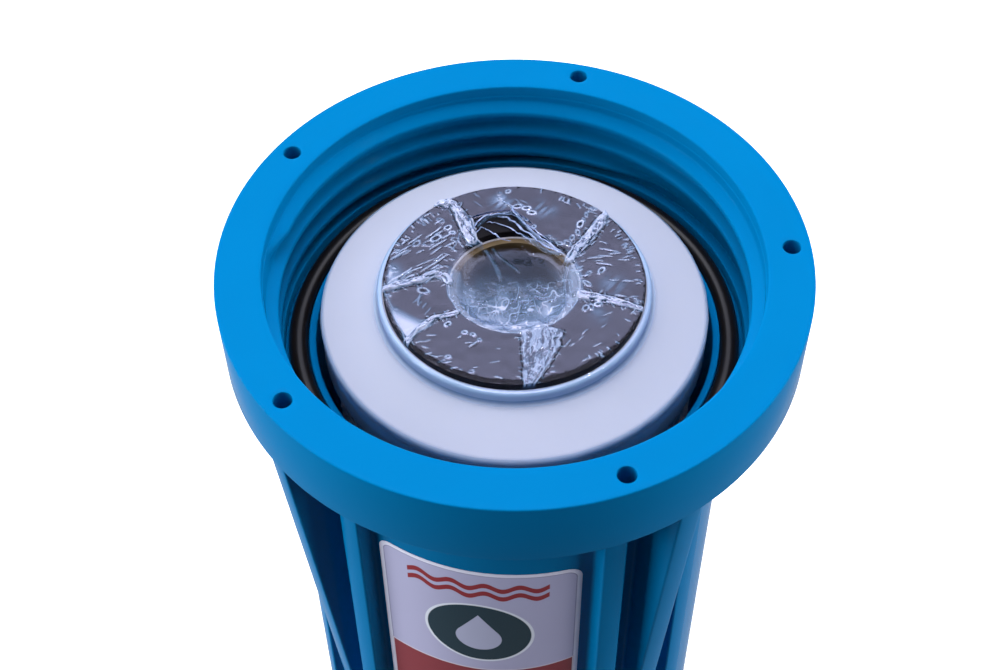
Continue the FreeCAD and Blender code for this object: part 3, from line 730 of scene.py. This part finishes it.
def draw_folds(x, y, over_ring, height, white, cling):
    """Gathered folds: milky, shining strands with painted highlights within a body that wavers in
    width, fine lines of painted highlight along its edges and slanting over it, and a band of
    painted shade on either side, where the mirror is taken away."""
    for path, (inner, waist, outer), rise, whiteness in FOLDS:
        distance, across, gone, length = near_path(path, x, y)
        share = gone / length
        width = np.interp(share, (0, 0.75, 1), (inner, waist, outer)) * (0.5 + 0.5 * smooth(share / 0.07))
        width += min(0.35 * waist, 0.6) * (grain(gone / 1.3, np.sign(across) * 3 + 8, 2) - 0.5)
        body = smooth((1 - distance / width) * 5)
        spread = across / width * (0.6 + 1.1 * inner)
        strand, cross = grain(gone / 3.2 + 5, spread + 21, 4), grain(gone + 3, across / 1.2 + 9, 5)
        shine = ease(0.65 * strand + 0.35 * cross, 0.41, 0.61)
        lines = smooth(1.3 - np.abs(distance - width * 0.9) / FOLD_EDGE)
        for hand in (-1, 1):
            slant = 0.8 * spread + hand * gone / 3.0
            threads = ridges(grain(gone / 2.6 + 9, slant + 30, 6 + hand))
            lift(lines, ease(threads, 0.8, 0.94) * (distance < width))
        lines *= smooth(grain(gone / 1.8, across + waist, 6) * 3 - 0.4)
        start = smooth(share / 0.05 + 0.2)
        rounding = 0.35 * smooth((1 - distance / width) * 2)
        height += rise * (rounding + 0.3 * body * shine + 0.25 * lines * start)
        outside = (distance > width * 0.95) * over_ring
        cling *= 1 - body
        # Painted shade beside the fold: the mirror is taken away
        lift(cling, 0.9 * outside * smooth(1.4 - np.abs(distance - width - 0.45) / GUTTER_SHADE_WIDTH))
        white *= 1 - 0.8 * body
        lift(white, whiteness * start * np.maximum(body * (0.08 + 0.76 * shine), lines))


def draw_creases(x, y, height, white):
    """Long creases over the gasket and zigzags in the hole, each a low ridge with a broken white line
    of milky crease and painted highlight.
    """
    zigzags = [(zigzag(*way), ZIGZAG_WIDTH, rise, whiteness) for *way, rise, whiteness in ZIGZAGS]
    for path, width, rise, whiteness in CREASES + zigzags:
        distance, _, gone, length = near_path(path, x, y)
        ends = smooth(gone / 1.5 + 0.1) * smooth((length - gone) / 1.5 + 0.1)
        line = np.clip(1 - distance / (width * (0.7 + 0.6 * grain(gone / 1.7, distance, 1))), 0, 1)
        height += rise * ends * line**1.3
        broken = 0.5 + 0.7 * grain(gone / 2.2, 0 * gone + 3, 6)
        lift(white, whiteness * ends * smooth(line * 2.2) * broken)


def draw_hole(x, y, height, white, cling):
    """The sag over the hole: a raised lip behind it with a dark opening below, painted shade
    where the mirror is taken away, and a crinkled, hazy front."""
    radius, bearing = np.hypot(x, y), np.degrees(np.arctan2(x, y))
    hole, front = ease(radius, GASKET_HOLE + 0.8, GASKET_HOLE - 0.4), ease(y, 4, -12)
    back = ease(bearing, -38, -29) * ease(bearing, 26, -8)
    lip = SAG_RADIUS + LIP_SETBACK * back
    behind = ease(bearing, -62, -12) * ease(bearing, 58, 8) * ease(radius, 5, 14)
    height -= (SAG_DEPTH + 1.2 * front + 1.6 * behind) * smooth((np.maximum(lip, 21) - radius) / 7.5)
    height += LIP_HEIGHT * back * np.exp(-(((radius - lip - 0.3) / 1.3) ** 2))
    tunnel = ease(np.abs(bearing - 6), 62, 54)
    tunnel *= ease(radius, lip + 0.4, lip - 0.4) * ease(radius, 14.6, 16.2)
    # Under the lip the mirror is taken away: painted shade in the opening
    lift(cling, 0.95 * tunnel)
    lift(cling, 0.72 * ease(radius, 21, 10))
    coarse = crumple(x, y, 3.0, 1)
    crinkle = coarse + 0.5 * crumple(x + 7, y + 2, 1.4, 4)
    height += 0.7 * hole * (0.15 + 0.85 * front) * (1 - tunnel) * (crinkle - 1)

    wisps = smooth(streaks(x, y, 130, 8, 2.4, 6) * 2.4 - 0.9)
    clouds = smooth(grain(x / 3.4 + 2, y / 2.6 + 9, 5) * 2.4 - 0.9)
    threads = ease(coarse, 0.92, 0.98) * smooth(grain(x / 4, y / 4, 2) * 3 - 0.8)
    haze = (1 - tunnel) * (0.03 + 0.05 * wisps + 0.12 * ease(y, 5, -13) * (1 + crinkle))
    haze += 0.26 * front * clouds + 0.42 * ease(y - 0.5 * x, 3, -5) * threads
    sides = ease(radius, 15.6, 17.6) * ease(np.abs(bearing + 4), 66, 80)
    lift(haze, (0.24 + 0.14 * grain(bearing / 7 + 30, radius / 1.5, 3)) * sides)
    haze *= hole
    ragged = 0.5 * (grain(bearing / 9 + 70, 0 * radius, 4) - 0.5)
    edge = smooth(1 - np.abs(radius - SAG_RADIUS - ragged) / 0.5)
    lift(haze, 0.5 * edge * ease(np.abs(bearing), 88, 108))
    lift(white, haze)


def film_relief(x, y):
    """How far the film over the gasket stands above its plane, how white it is and how
    closely it clings: a slow swell, a band of painted shade along the rim, wider at the front,
    where the mirror is taken away, then each kind of mark in turn."""
    radius, bearing = np.hypot(x, y), np.degrees(np.arctan2(x, y))
    over_ring = ease(radius, 20.5, 23.5) * ease(radius, GASKET_EDGE + 0.3, GASKET_EDGE - 0.9)
    swell = 0.26 * (grain(x / 8 + 2, y / 8 + 8, 0) - 0.5)
    swell += 0.10 * (grain(x / 2.6 + 1, y / 2.6 + 6, 4) - 0.5)
    ragged = 0.5 * (grain(bearing * 0.4 + 90, radius / 9, 1) - 0.5)
    ragged += 0.9 * (grain(bearing * 1.4 + 60, radius / 4, 2) - 0.5)
    rim = GASKET_EDGE - 0.75 - 1.2 * ease(np.abs(bearing), 112, 142) + ragged
    # Outside the rim line the mirror is taken away: painted shade, wider at the front
    height, white, cling = swell * over_ring, np.zeros(x.shape), smooth((radius - rim) / 0.3)
    draw_wrinkles(x, y, height, white, cling)
    draw_blisters(x, y, height, white, cling)
    draw_patches(x, y, white)
    draw_folds(x, y, over_ring, height, white, cling)
    draw_creases(x, y, height, white)
    draw_hole(x, y, height, white, cling)
    return height, np.clip(white, 0, 1), np.clip(cling, 0, 1)


def make_film_top():
    """Film over the boss, on two polar grids: out from the middle over the hole, and on
    over the gasket, round its edge and down the boss."""
    top, meet, rows = GASKET_TOP + FILM_GAP, 21.0, 90
    wall, under = BOSS_RADIUS + WALL_GAP, GASKET_LOW + FILM_GAP
    drop = rounded([(GASKET_EDGE - 0.6, top), (GASKET_EDGE + FILM_GAP, top, 0.5),
                    (GASKET_EDGE + 0.3, under, 0.3), (wall, under, 1.3)]
                   + [(wall, TOP_FOOT + rise) for rise in (2.0, 1.4, 1.0, 0.6, 0.2)], 4)
    over_hole = np.linspace((0, top), (meet, top), rows)
    over_ring = np.concatenate([np.linspace((meet, top), (GASKET_EDGE - 0.8, top), rows - 2), drop])
    for name, profile, columns, stands_for in (("film_over_hole", over_hole, 421, ["shrink_film"]),
                                               ("film_over_gasket", over_ring, 841, [])):
        radius, level = profile[:, :1], profile[:, 1:]
        bearings = np.linspace(0, 360, columns)[None]
        x, y, _ = np.moveaxis(swing(radius, bearings, 0.0), -1, 0)
        height, white, cling = film_relief(x, y)
        settled = ease(level, GASKET_LOW, top)
        # Down the boss's side the film is milky and painted pale blue, the bowl's reflection
        on_boss = ease(level, GASKET_LOW + 0.5, GASKET_LOW + 0.2)
        white = white * settled + 0.9 * on_boss * ease(level, TOP_FOOT + 0.2, TOP_FOOT + 1.3)
        cling = np.maximum(cling, ease(level, top, top - 0.4)) * (1 - on_boss)
        make_piece(name, [swing(radius, bearings, level + height * settled)], "cartridge", "clear_film",
                   stands_for, sharp=180, closed=False, white=white, cling=cling,
                   stretched=on_boss + 0 * white)


# Twisted strands of film that bridge the hole's back edge: path, thickness and rise.
STRANDS = [
    ([(-8, 34.5), (-2, 30.6), (5, 24.3), (17, 20.3), (32, 18.3), (52, 18.9)], 0.30, 0.8),
    ([(-12, 26.8), (-5, 25.9), (3, 21.8), (19, 18.0), (38, 16.7), (56, 19.0)], 0.34, 0.9),
    ([(-1, 27.4), (9, 22.8), (17, 21.2), (34, 19.4)], 0.2, 1.2),
    ([(-33, 22.4), (-26, 24.2), (-20, 21.6), (-15, 17.7), (-4, 15.9)], 0.22, 0.2),
    ([(-20, 25.6), (-13, 24.0), (-3, 21.0), (7, 18.8), (20, 16.4)], 0.2, 0.4),
    ([(-36, 23.0), (-31, 24.3), (-26, 25.7), (-18, 26.9), (-8, 27.0), (0, 27.0)], 0.24, 2.0),
]


def make_film_strands():
    """Each strand is a tube along a smooth path at a height over the gasket, waisted and
    kinked by noise."""
    sides, steps, window = 8, 120, 15
    patches = []
    around = np.linspace(0, 2 * np.pi, sides + 1)[None]
    kernel = np.hanning(window) / np.hanning(window).sum()
    for number, (path, thick, rise) in enumerate(STRANDS):
        knots = swing(*(np.array(path, float).T[::-1]), GASKET_TOP + FILM_GAP)
        gone = np.linspace(0, len(knots) - 1, steps)
        line = np.stack([np.interp(gone, np.arange(len(knots)), knots[:, i]) for i in range(3)], -1)
        line = np.pad(line, ((window // 2, window // 2), (0, 0)), "edge")
        line = np.stack([np.convolve(line[:, i], kernel, "valid") for i in range(3)], -1)
        line[:, 2] += rise * np.sin(np.linspace(0.25, np.pi - 0.1, len(line)))
        line[:, 2] += 0.5 * (grain(gone * 4 + 9 * number, 0 * gone, 2) - 0.5)
        line[:, :2] += 0.5 * (grain(gone * 3 + 7 * number, 0 * gone + 4, 3) - 0.5)[:, None]
        ahead = np.gradient(line, axis=0)
        ahead /= np.linalg.norm(ahead, axis=1, keepdims=True)
        aside = np.cross(ahead, [0, 0, 1.0])
        aside /= np.linalg.norm(aside, axis=1, keepdims=True)
        above = np.cross(aside, ahead)
        ends = np.sin(np.linspace(0.15, np.pi - 0.15, len(line))) ** 0.4
        girth = thick * ends * (0.55 + 0.9 * grain(gone * 5 + 3 * number, 0 * gone + 8, 4))
        line, aside, above = (np.pad(part, ((1, 1), (0, 0)), "edge") for part in (line, aside, above))
        girth, gone = np.pad(girth, 1), np.pad(gone, 1, "edge")
        twist = around + 1.5 * gone[:, None]
        across = aside[:, None] * np.cos(around)[..., None]
        up = above[:, None] * (np.sin(around) * (0.6 + 0.4 * np.cos(2 * twist)))[..., None]
        patches.append(line[:, None] + girth[:, None, None] * (across + up))
    count = sum(patch.shape[0] * patch.shape[1] for patch in patches)
    make_piece("film_strands", patches, "cartridge", "clear_film", sharp=180,
               white=np.full(count, STRAND_WHITE), cling=np.zeros(count))


def make_film_sleeve():
    """Film over the cap's crown and shoulder, down the sleeve and in under the bottom cap,
    with lengthwise ripples. By the boss and on the shoulder it is milky with a painted bluish
    shade, the bowl's reflection, and it clings there."""
    out, start = CAP_RADIUS + WALL_GAP, BOSS_RADIUS + FILM_GAP
    shoulder = CAP_RADIUS - 2
    slope = CROWN_FALL / (CAP_RADIUS - BOSS_RADIUS)
    crown = [(BOSS_RADIUS + step, TOP_FOOT + 0.3 - slope * step) for step in (2.2, 2.8, 3.6, 5.0)]
    profile = rounded([(start, TOP_FOOT + 1.5), (start, TOP_FOOT + 0.3, BOSS_FILLET)] + crown
                      + [(out, TOP_FOOT - CROWN_FALL + FILM_GAP, SHOULDER_ROUNDING + 0.2)]
                      + [(out, z) for z in np.linspace(TOP_FOOT - 8, BOTTOM_FOOT + 8, 60)]
                      + [(out, BOTTOM_FOOT + CROWN_FALL - FILM_GAP, SHOULDER_ROUNDING + 0.2),
                         (CAP_RADIUS - 14, BOTTOM_FOOT + 0.2)], 8)
    radius, level = profile[:, :1], profile[:, 1:]
    along, bearing = np.linspace(0, 1, len(profile))[:, None], np.linspace(0, 360, 361)[None]
    round_by = bearing / 360 * 64
    ripples = grain(round_by, along * 3, 2) - 0.5 + 0.5 * (grain(round_by * 2, along * 9, 3) - 0.5)
    swell = 0.22 * ripples * ease(radius, shoulder, CAP_RADIUS)
    swell += 0.03 * (grain(round_by, along * 20, 5) - 0.5)
    near_top = ease(level, TOP_FOOT - 8, TOP_FOOT - 5) + 0 * bearing
    by_boss = ease(radius, BOSS_RADIUS + 3.4, BOSS_RADIUS + 0.2) + 0 * bearing
    on_shoulder = ease(radius, shoulder, CAP_RADIUS) * near_top
    on_crown = np.clip((CAP_RADIUS - 3 - radius) / 15, 0, 1)
    # Painted bluish shade round the foot of the boss and on the shoulder, milky film on the crown
    white = np.maximum(BOSS_PAINTED_SHADE * by_boss, CROWN_WHITE * on_crown)
    lift(white, SHOULDER_PAINTED_SHADE * on_shoulder)
    make_piece("film_sleeve", [swing(radius + swell, bearing, level)], "cartridge", "clear_film", sharp=180,
               closed=False, white=white, cling=MIDDLE_CLING + (TOP_CLING - MIDDLE_CLING) * near_top,
               stretched=np.maximum(by_boss, on_shoulder))


# ---------------------------------------------------------------- label


def make_label():
    """The label: a rounded rectangle wrapped on the wall, as rings round its middle, with a
    thin edge and a back. Each point carries its place east and up of the middle, in
    millimetres, for the print."""
    corner = np.array([LABEL_HALF_WIDE, LABEL_HALF_HIGH]) - LABEL_CORNER
    quarter = arc(corner, LABEL_CORNER, 0, 90, 10)
    outline = np.concatenate([quarter, quarter[::-1] * [-1, 1], -quarter, quarter[::-1] * [1, -1]])
    outline = np.concatenate([outline, outline[:1]])
    edge = []
    for begin, end in zip(outline[:-1], outline[1:]):
        steps = max(int(np.hypot(*(end - begin)) / 3), 1)
        edge.append(begin + (end - begin) * (np.arange(steps)[:, None] / steps))
    edge = np.concatenate(edge + [outline[:1]])
    share = np.append(np.linspace(0, 0.985, 14), 1.0)[:, None, None]
    face = edge[None] * share
    flat = np.concatenate([face, face[-1:], face[::-1]])
    radius = np.full(flat.shape[:2], LABEL_OUTSIDE)
    radius[len(share):] -= LABEL_THICKNESS
    radius[len(share) - 1] -= LABEL_THICKNESS / 5
    east, up = flat[..., 0], flat[..., 1]
    bearing = LABEL_BEARING - np.degrees(east / LABEL_OUTSIDE)
    grid = swing(radius, bearing, (LABEL_LOW + LABEL_HIGH) / 2 + up)
    make_piece("label", [grid], "bowl", "printed_label", ["front_label"], east=east, up=up)


# ---------------------------------------------------------------- materials


def linear(code):
    """An sRGB hex colour as linear red, green, blue and alpha."""
    values = [int(code[i:i + 2], 16) / 255 for i in (1, 3, 5)]
    return [v / 12.92 if v <= 0.04045 else ((v + 0.055) / 1.055) ** 2.4 for v in values] + [1.0]


def add(tree, kind, links=None, **settings):
    """A node with its settings. links gives an input, by name or number, a value or a socket."""
    node = tree.nodes.new("ShaderNode" + kind)
    for name, value in settings.items():
        setattr(node, name, value)
    for name, value in (links or {}).items():
        if isinstance(value, bpy.types.NodeSocket):
            tree.links.new(value, node.inputs[name])
        else:
            node.inputs[name].default_value = value
    return node


def blank(name):
    """A material with an empty tree, and its output node."""
    material = bpy.data.materials.new(name)
    material.use_nodes = True
    tree = material.node_tree
    tree.nodes.clear()
    return material, tree, add(tree, "OutputMaterial")


def calculated(tree, kind, *inputs, clamp=False):
    """What a Math node makes of its inputs."""
    return add(tree, "Math", dict(enumerate(inputs)), operation=kind, use_clamp=clamp).outputs[0]


def stretch(tree, value, to_low, to_high, low=0.0, high=1.0, **settings):
    """A value moved from one range to another."""
    ends = {"Value": value, "From Min": low, "From Max": high, "To Min": to_low, "To Max": to_high}
    return add(tree, "MapRange", ends, **settings).outputs["Result"]


def mixed(tree, share, first, second):
    """A colour between two, by a share. Inputs 6 and 7 of a Mix node are its two colours,
    and output 2 is the colour it makes."""
    return add(tree, "Mix", {0: share, 6: first, 7: second}, data_type="RGBA").outputs[2]


def noise(tree, spacing, detail):
    """Noise of a given spacing in millimetres, fixed to the piece."""
    where = add(tree, "TexCoord").outputs["Object"]
    texture = add(tree, "TexNoise", {"Vector": where, "Scale": 1 / (spacing * MM), "Detail": detail})
    return texture.outputs["Fac"]


def skinned(tree, output, fine, bump, colour, roughness, level):
    """A surface with a fine relief, bump millimetres high."""
    relief = add(tree, "Bump", {"Height": fine, "Strength": 1.0, "Distance": bump * MM}).outputs["Normal"]
    skin = add(tree, "BsdfPrincipled", {"Base Color": colour, "Roughness": roughness, "Normal": relief,
                                        "Specular IOR Level": level})
    tree.links.new(skin.outputs[0], output.inputs["Surface"])


def surface(name, colour, other, roughness, spacing, bump, level=0.5, patch=25.0, spread=0.06):
    """A moulded or cut surface: two near colours in soft patches, a fine grain of a given
    spacing in millimetres for bump, and roughness that wanders a little."""
    material, tree, output = blank(name)
    cloud, fine = noise(tree, patch, 3.0), noise(tree, spacing, 4.0)
    shade = mixed(tree, cloud, linear(colour), linear(other))
    wander = stretch(tree, fine, roughness - spread, roughness + spread)
    skinned(tree, output, fine, bump, shade, wander, level)
    return material


# Plain surfaces by slot, each named for its real material: two colours, roughness, spacing and
# height of the grain, strength of the mirror, size of the patches and wander of the roughness.
FINISHES = {
    # Injection-moulded polypropylene, sky blue: satin, with a faint orange peel from the mould
    "moulded_bowl": ("moulded polypropylene", "#006DA0", "#00699B", 0.16, 1.6, 0.006, 0.008, 25.0, 0.03),
    # Moulded nitrile rubber: black, smooth, with a soft broad sheen from a film of grease
    "seal_rubber": ("nitrile rubber", "#0D0B0B", "#151210", 0.3, 0.5, 0.01, 0.25, 8.0),
    # Moulded polyethylene, white: waxy and dull
    "end_cap": ("moulded polyethylene", "#BBBABC", "#B7B6B8", 0.38, 1.2, 0.008, 0.2),
    # Die-cut rubber sheet: flat black with a fine calendered grain
    "gasket_rubber": ("die-cut rubber sheet", "#0C0B0E", "#100F12", 0.6, 0.35, 0.02, 0.08, 6.0),
    # Hot-melt glue: amber, glossy and lumpy
    "hot_melt": ("hot-melt glue", "#9C7B45", "#A98A52", 0.25, 3.0, 0.1),
    # Natural polypropylene tube, extruded and yellowed: buff and satin
    "core_plastic": ("natural polypropylene", "#66573D", "#5C4E38", 0.5, 0.9, 0.02, 0.1),
    # Spunbonded polypropylene fleece: white and fibrous
    "fleece": ("spunbonded fleece", "#DCDCE0", "#CFCFD6", 0.9, 0.4, 0.12, 0.2),
    # Sintered coconut-shell carbon: black granules
    "carbon": ("sintered carbon", "#121214", "#1E1E20", 0.75, 0.7, 0.15, 0.3),
    # Extruded polyethylene netting: white, smooth strands
    "netting": ("extruded netting", "#E4E6EE", "#DADDE8", 0.4, 0.8, 0.01),
}


def shrink_film():
    # Shrink-wrapped PVC film: clear, mirrors on both faces, milky where it is gathered; its
    # whiteness also carries painted highlights and painted reflections
    material, tree, output = blank("PVC shrink film")
    white, cling, stretched = (add(tree, "Attribute", attribute_name=name).outputs["Fac"]
                               for name in ("white", "cling", "stretched"))

    def blend(share, first, second):
        return add(tree, "MixShader", {0: share, 1: first, 2: second}).outputs[0]

    # Two faces mirror twice the share of one, less what goes back and forth between them
    fresnel = add(tree, "Fresnel", {"IOR": 1.5}).outputs["Fac"]
    both = calculated(tree, "MULTIPLY", fresnel, 2.0)
    share = calculated(tree, "DIVIDE", both, calculated(tree, "ADD", fresnel, 1.0))
    # Where it clings to what is under it little is left of the mirrors, and beyond 1 nothing;
    # the same takes the mirror away for painted shade by wrinkles, blisters, folds, the hole and
    # the gasket's rim
    share = calculated(tree, "MULTIPLY", share, stretch(tree, cling, 1.0, 0.12, clamp=False))
    clear = add(tree, "BsdfTransparent", {"Color": (0.99, 0.99, 1.0, 1.0)}).outputs[0]
    mirror = add(tree, "BsdfGlossy", {"Color": (0.76, 0.77, 1.0, 1.0), "Roughness": 0.08}).outputs[0]
    # Gathered it is white, and where it is faintly gathered a painted blue, the bowl's reflection;
    # round the boss and on the cap's shoulder an even painted pale blue, the bowl's reflection and shade
    tint = mixed(tree, white, linear("#64AEE2"), linear("#E2E2F2"))
    tint = mixed(tree, stretched, tint, linear("#B2D2EE"))
    milk = blend(0.3, add(tree, "BsdfDiffuse", {"Color": tint}).outputs[0],
                 add(tree, "BsdfTranslucent", {"Color": tint}).outputs[0])
    film = blend(white, blend(share, clear, mirror), blend(share, milk, mirror))
    tree.links.new(film, output.inputs["Surface"])
    return material


def printed_vinyl():
    # Printed vinyl, semi-gloss: a white border, a grey line, a lavender field with a teal sign, two
    # red waves above it and a red band below, all drawn from the label's own millimetres
    material, tree, output = blank("printed vinyl")
    east, up = (add(tree, "Attribute", attribute_name=name).outputs["Fac"] for name in ("east", "up"))
    border, line, wave_colour, sign_colour = 1.9, 0.3, "#8E2A30", "#B4B8D2"
    wave_length, wave_height, wave_half, wave_reach = 11.0, 1.3, 1.35, 23.0
    sign_x, sign_y, sign_radius, sign_edge, drop_radius = 0.3, LABEL_HALF_HIGH - 37.5, 17.2, 1.0, 7.6

    def number(kind, *inputs, clamp=False):
        return calculated(tree, kind, *inputs, clamp=clamp)

    def less(first, second):
        return number("SUBTRACT", first, second)

    def square(value):
        return number("POWER", value, 2.0)

    def inside(distance, soft=0.12):
        """1 where a signed distance in millimetres is below nought, with a soft edge."""
        return number("MULTIPLY_ADD", distance, -0.5 / soft, 0.5, clamp=True)

    def box(inset, corner):
        """Signed distance to a rounded rectangle inset from the label's edge."""
        dx = less(number("ABSOLUTE", east), LABEL_HALF_WIDE - inset - corner)
        dy = less(number("ABSOLUTE", up), LABEL_HALF_HIGH - inset - corner)
        away = number("ADD", square(number("MAXIMUM", dx, 0.0)), square(number("MAXIMUM", dy, 0.0)))
        within = number("MINIMUM", number("MAXIMUM", dx, dy), 0.0)
        return less(number("ADD", number("SQRT", away), within), corner)

    def disc(x, y, radius):
        """Signed distance to a circle."""
        return less(number("SQRT", number("ADD", square(less(east, x)), square(less(up, y)))), radius)

    panel = box(border, 3.4)
    turn = number("MULTIPLY", east, 2 * math.pi / wave_length)
    ripple = number("MULTIPLY", number("SINE", turn), wave_height)
    waves = []
    for drop in (8.6, 13.2):
        off = number("ABSOLUTE", less(less(up, LABEL_HALF_HIGH - drop), ripple))
        ends = less(number("ABSOLUTE", east), wave_reach)
        waves.append((inside(number("MAXIMUM", less(off, wave_half), ends)), wave_colour))
    # The drop's point: a triangle that narrows upwards from the round body
    tip = less(number("ABSOLUTE", less(east, sign_x)), number("MULTIPLY", less(sign_y + 11.5, up), 0.62))
    point = number("MAXIMUM", tip, less(sign_y + 0.6, up))
    # The band's upper edge lies level and lifts a little towards the right
    rise = number("MULTIPLY", square(number("MAXIMUM", number("ADD", east, 6.0), 0.0)), 0.004)
    band = number("MAXIMUM", less(less(up, LABEL_HALF_HIGH - 62.0), rise), panel)
    layers = [(inside(box(border - line, 3.6)), "#8C8CAE"), (inside(panel), "#B4B4D2")] + waves + [
        (inside(disc(sign_x, sign_y, sign_radius + sign_edge)), "#E0E6F0"),
        (inside(disc(sign_x, sign_y, sign_radius)), "#16323E"),
        (inside(disc(sign_x, sign_y - 3.0, drop_radius)), sign_colour),
        (inside(point), sign_colour),
        (inside(less(band, 0.6)), "#D8D0DC"),
        (inside(band), "#86343C"),
    ]
    colour = linear("#E6E6F6")
    for share, shade in layers:
        colour = mixed(tree, share, colour, linear(shade))
    skinned(tree, output, noise(tree, 0.7, 2.0), 0.004, colour, 0.35, 0.08)
    return material


MATERIALS = {slot: surface(*finish) for slot, finish in FINISHES.items()}
MATERIALS["printed_label"] = printed_vinyl()
MATERIALS["clear_film"] = shrink_film()


def dress_kept_nodes():
    """Give the CAD nodes that stay in view the finish of their slot."""
    slots = {part["node"]: part["material_slot"] for part in frame["record"]["subparts"]}
    for name in ("core_tube", "inner_fleece", "carbon_block", "outer_fleece",
                 "bottom_glue_ring", "top_glue_ring"):
        node = frame["nodes"][name]
        node.data.materials.clear()
        node.data.materials.append(MATERIALS[slots[name]])


# ---------------------------------------------------------------- stage


def make_floor():
    """A white floor. To the eye and in mirrors it glows a little, so that it shows white with
    the object's shadow on it, and it throws back less light than it shows."""
    material, tree, output = blank("floor")
    path = add(tree, "LightPath").outputs
    shade = mixed(tree, path["Is Camera Ray"], (0.10, 0.10, 0.11, 1.0), (0.9, 0.9, 0.9, 1.0))
    mirrored = calculated(tree, "MAXIMUM", path["Is Glossy Ray"], path["Is Transmission Ray"])
    glow = calculated(tree, "MULTIPLY_ADD", path["Is Camera Ray"], 0.5,
                      calculated(tree, "MULTIPLY", mirrored, 0.4))
    matt = add(tree, "BsdfDiffuse", {"Color": shade}).outputs[0]
    glowing = add(tree, "Emission", {"Color": (1.0, 1.0, 1.0, 1.0), "Strength": glow}).outputs[0]
    both = add(tree, "AddShader", {0: matt, 1: glowing})
    tree.links.new(both.outputs[0], output.inputs["Surface"])
    mesh = bpy.data.meshes.new("floor")
    wide = 6.0
    corners = [(-wide, -wide, 0), (wide, -wide, 0), (wide, wide, 0), (-wide, wide, 0)]
    mesh.from_pydata(corners, [], [(0, 1, 2, 3)])
    mesh.materials.append(material)
    floor = put("floor", mesh)


def make_surroundings():
    """The studio round the object: a pale tent behind, beside and above it and a dark room
    in front, all white to the eye."""
    world = bpy.data.worlds.new("studio")
    bpy.context.scene.world = world
    world.use_nodes = True
    tree = world.node_tree
    tree.nodes.clear()
    way = add(tree, "TexCoord").outputs["Generated"]
    parts = add(tree, "SeparateXYZ", {0: way}).outputs
    # Dark in front and pale behind, a little paler at the left, and paler overhead
    tent = stretch(tree, parts["Y"], 0.02, 1.7, 0.1, 0.5, interpolation_type="SMOOTHSTEP")
    tent = calculated(tree, "MULTIPLY", tent, stretch(tree, parts["X"], 1.15, 0.85, -1.0, 1.0))
    tent = calculated(tree, "MULTIPLY", tent, stretch(tree, parts["Z"], 0.92, 1.5, 0.70, 0.86))
    seen = add(tree, "LightPath").outputs["Is Camera Ray"]
    light = add(tree, "Background", {"Color": (0.93, 0.96, 1.2, 1.0), "Strength": tent})
    plain = add(tree, "Background", {"Color": (1.0, 1.0, 1.0, 1.0), "Strength": 1.0})
    pick = add(tree, "MixShader", {0: seen, 1: light.outputs[0], 2: plain.outputs[0]})
    tree.links.new(pick.outputs[0], add(tree, "OutputWorld").inputs["Surface"])


# Lamps: name, bearing, rise, distance, width, height, radiance and, where it isn't the usual,
# colour. Three are small and bright, for sparks on the film.
LAMPS = [
    ("sky_window", 180.0, 87.0, 1.4, 0.7, 0.7, 5.6, (0.92, 0.84, 1.12)),
    ("high_left_window", -108.0, 38.0, 1.4, 0.5, 0.5, 5.0),
    ("left_window", 264.0, 5.0, 1.4, 1.2, 0.8, 10.0),
    ("right_window", 98.0, 5.0, 1.4, 1.2, 0.8, 7.5),
    ("back_left_window", -48.0, 58.0, 1.4, 0.7, 0.7, 2.3),
    ("back_right_window", 48.0, 58.0, 1.4, 0.7, 0.7, 1.6),
    ("back_window", 0.0, 76.0, 1.4, 0.7, 0.7, 3.0),
    ("right_spark", 92.0, 55.0, 1.3, 0.07, 0.07, 60.0),
    ("left_spark", -70.0, 62.0, 1.3, 0.07, 0.07, 60.0),
    ("back_spark", 60.0, 68.0, 1.3, 0.045, 0.045, 130.0),
]


def make_lamp(name, bearing, rise, away, wide, tall, radiance, colour=(0.94, 0.96, 1.0)):
    """A soft lamp that faces the collar from a bearing and a rise, of an even radiance."""
    lamp = bpy.data.lights.new(name, "AREA")
    lamp.shape = "RECTANGLE"
    lamp.size, lamp.size_y = wide, tall
    lamp.energy = radiance * wide * tall * math.pi
    lamp.color = colour
    stand = put(name, lamp)
    turn, up = math.radians(bearing), math.radians(rise)
    way = Vector((math.sin(turn) * math.cos(up), math.cos(turn) * math.cos(up), math.sin(up)))
    stand.location = Vector((0, 0, RIM * MM)) + way * away
    stand.rotation_euler = way.to_track_quat("Z", "Y").to_euler()


def make_camera():
    """The camera looks at the middle of the collar's top from in front and above, then is
    turned a little, so that the bowl stands right of the middle and low in the view."""
    rise, pan, tilt = (math.radians(angle) for angle in (VIEW_RISE, VIEW_PAN, VIEW_TILT))
    forward = np.array([0, math.cos(rise), -math.sin(rise)])
    stand = np.array([0, 0, RIM * MM]) - forward * VIEW_DISTANCE
    right = np.array([1.0, 0, 0])
    view = np.stack([right, np.cross(forward, right), forward])
    pan_turn = [[math.cos(pan), 0, math.sin(pan)], [0, 1, 0], [-math.sin(pan), 0, math.cos(pan)]]
    tilt_turn = [[1, 0, 0], [0, math.cos(tilt), math.sin(tilt)], [0, -math.sin(tilt), math.cos(tilt)]]
    right, down, forward = np.array(tilt_turn) @ np.array(pan_turn) @ view
    matrix = np.eye(4)
    matrix[:3] = np.stack([right, -down, -forward, stand], -1)
    lens = bpy.data.cameras.new("camera")
    lens.lens, lens.sensor_width = LENS, SENSOR
    camera = put("camera", lens)
    camera.matrix_world = Matrix(matrix.tolist())
    bpy.context.scene.camera = camera


make_bowl()
make_seal()
make_end("top")
make_end("bottom")
make_netting()
make_film_top()
make_film_strands()
make_film_sleeve()
make_label()
dress_kept_nodes()

make_floor()
make_surroundings()
for lamp in LAMPS:
    make_lamp(*lamp)
make_camera()
bpy.context.scene.view_settings.view_transform = "Standard"
